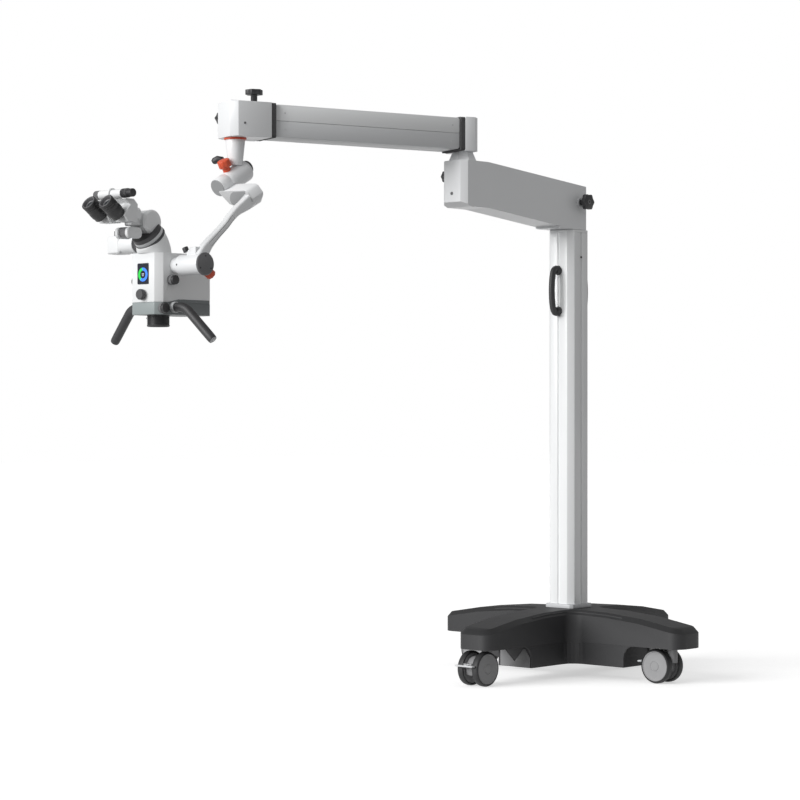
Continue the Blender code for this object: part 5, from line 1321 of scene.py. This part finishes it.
@dataclass
class Studio:
    """The floor, the light and the camera."""

    layout: Layout
    key_strength: float = 3.0
    ambient: float = 0.42
    floor_size: float = 40.0
    floor_colour: float = 0.72
    floor_glow: float = 0.52
    floor_bounce: float = 0.28
    azimuth: float = 42.2
    distance: float = 7200.0
    height: float = 820.4
    aside: float = 505.6

    def build(self) -> None:
        """Set up the studio."""
        self._floor()
        self._world()
        self._key()
        self._camera()
        bpy.context.scene.view_settings.view_transform = "Standard"

    def _floor(self) -> None:
        """Lay a pale floor that shows white to the camera and keeps the shadow."""
        shape = bmesh.new()
        bmesh.ops.create_grid(shape, x_segments=1, y_segments=1, size=self.floor_size / 2)
        mesh = bpy.data.meshes.new("floor")
        shape.to_mesh(mesh)
        shape.free()
        floor = bpy.data.objects.new("floor", mesh)
        floor.location.z = -0.0005
        bpy.context.scene.collection.objects.link(floor)
        made = bpy.data.materials.new("floor")
        made.use_nodes = True
        graph = Graph(made.node_tree)
        ray = graph.node("ShaderNodeLightPath")
        seen = graph.maths("MAXIMUM", graph.out(ray, "Is Camera Ray"), graph.out(ray, "Is Glossy Ray"))
        matt = graph.node("ShaderNodeBsdfDiffuse", Color=(self.floor_colour,) * 3)
        glow = graph.node("ShaderNodeEmission", Color=(1.0, 1.0, 1.0), Strength=self.floor_glow)
        both = graph.node("ShaderNodeAddShader")
        graph.plug(both.inputs[0], graph.out(matt, "BSDF"))
        graph.plug(both.inputs[1], graph.out(glow, "Emission"))
        dull = graph.node("ShaderNodeBsdfDiffuse", Color=(self.floor_bounce,) * 3)
        pick = graph.node("ShaderNodeMixShader")
        graph.plug(pick.inputs[0], seen)
        graph.plug(pick.inputs[1], graph.out(dull, "BSDF"))
        graph.plug(pick.inputs[2], graph.out(both, "Shader"))
        output = graph.node("ShaderNodeOutputMaterial")
        graph.plug(output.inputs["Surface"], graph.out(pick, "Shader"))
        mesh.materials.append(made)

    def _world(self) -> None:
        """Light evenly from all round, and show white behind the object."""
        world = bpy.data.worlds.new("studio")
        world.use_nodes = True
        bpy.context.scene.world = world
        graph = Graph(world.node_tree)
        ray = graph.node("ShaderNodeLightPath")
        seen = graph.maths("MAXIMUM", graph.out(ray, "Is Camera Ray"), graph.out(ray, "Is Transmission Ray"))
        level = seen * (1.0 - self.ambient) + self.ambient
        back = graph.node("ShaderNodeBackground", Color=(1.0, 1.0, 1.0), Strength=level)
        output = graph.node("ShaderNodeOutputWorld")
        graph.plug(output.inputs["Surface"], graph.out(back, "Background"))

    def _key(self) -> None:
        """Hang the broad key light in front of the head."""
        lamp = bpy.data.lights.new("key", "SUN")
        lamp.energy = self.key_strength
        lamp.angle = math.radians(42)
        item = bpy.data.objects.new("key", lamp)
        towards = Vector((-0.25, -0.93, 0.36)).normalized()
        item.rotation_euler = towards.to_track_quat("Z", "Y").to_euler()
        bpy.context.scene.collection.objects.link(item)

    def _camera(self) -> None:
        """Stand the camera where the photograph was taken from."""
        angle = math.radians(self.azimuth)
        away = Vector((math.sin(angle), -math.cos(angle), 0))
        right = Vector((math.cos(angle), math.sin(angle), 0))
        base = self.layout.point(0, 0, self.height)
        lens = bpy.data.cameras.new("camera")
        lens.lens = 108.0
        lens.sensor_width = 36.0
        lens.clip_end = 100.0
        item = bpy.data.objects.new("camera", lens)
        item.location = base + away * (self.distance / 1000) - right * (self.aside / 1000)
        item.rotation_euler = (math.pi / 2, 0.0, angle)
        bpy.context.scene.collection.objects.link(item)
        bpy.context.scene.camera = item


def main() -> None:
    """Load the frame, dress every sub-assembly and set up the studio."""
    logging.basicConfig(level=logging.INFO, format="%(message)s")
    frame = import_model()
    layout = Layout()
    layout.read(frame)
    shop = Workshop(layout)
    for part in (Stand(shop), SwingArm(shop), SpringArm(shop), Suspension(shop), Head(shop), Binocular(shop)):
        part.build()
        log.info("%s built, %d pieces so far", type(part).__name__, shop.count)
    Studio(layout).build()


if __name__ == "__main__":
    main()
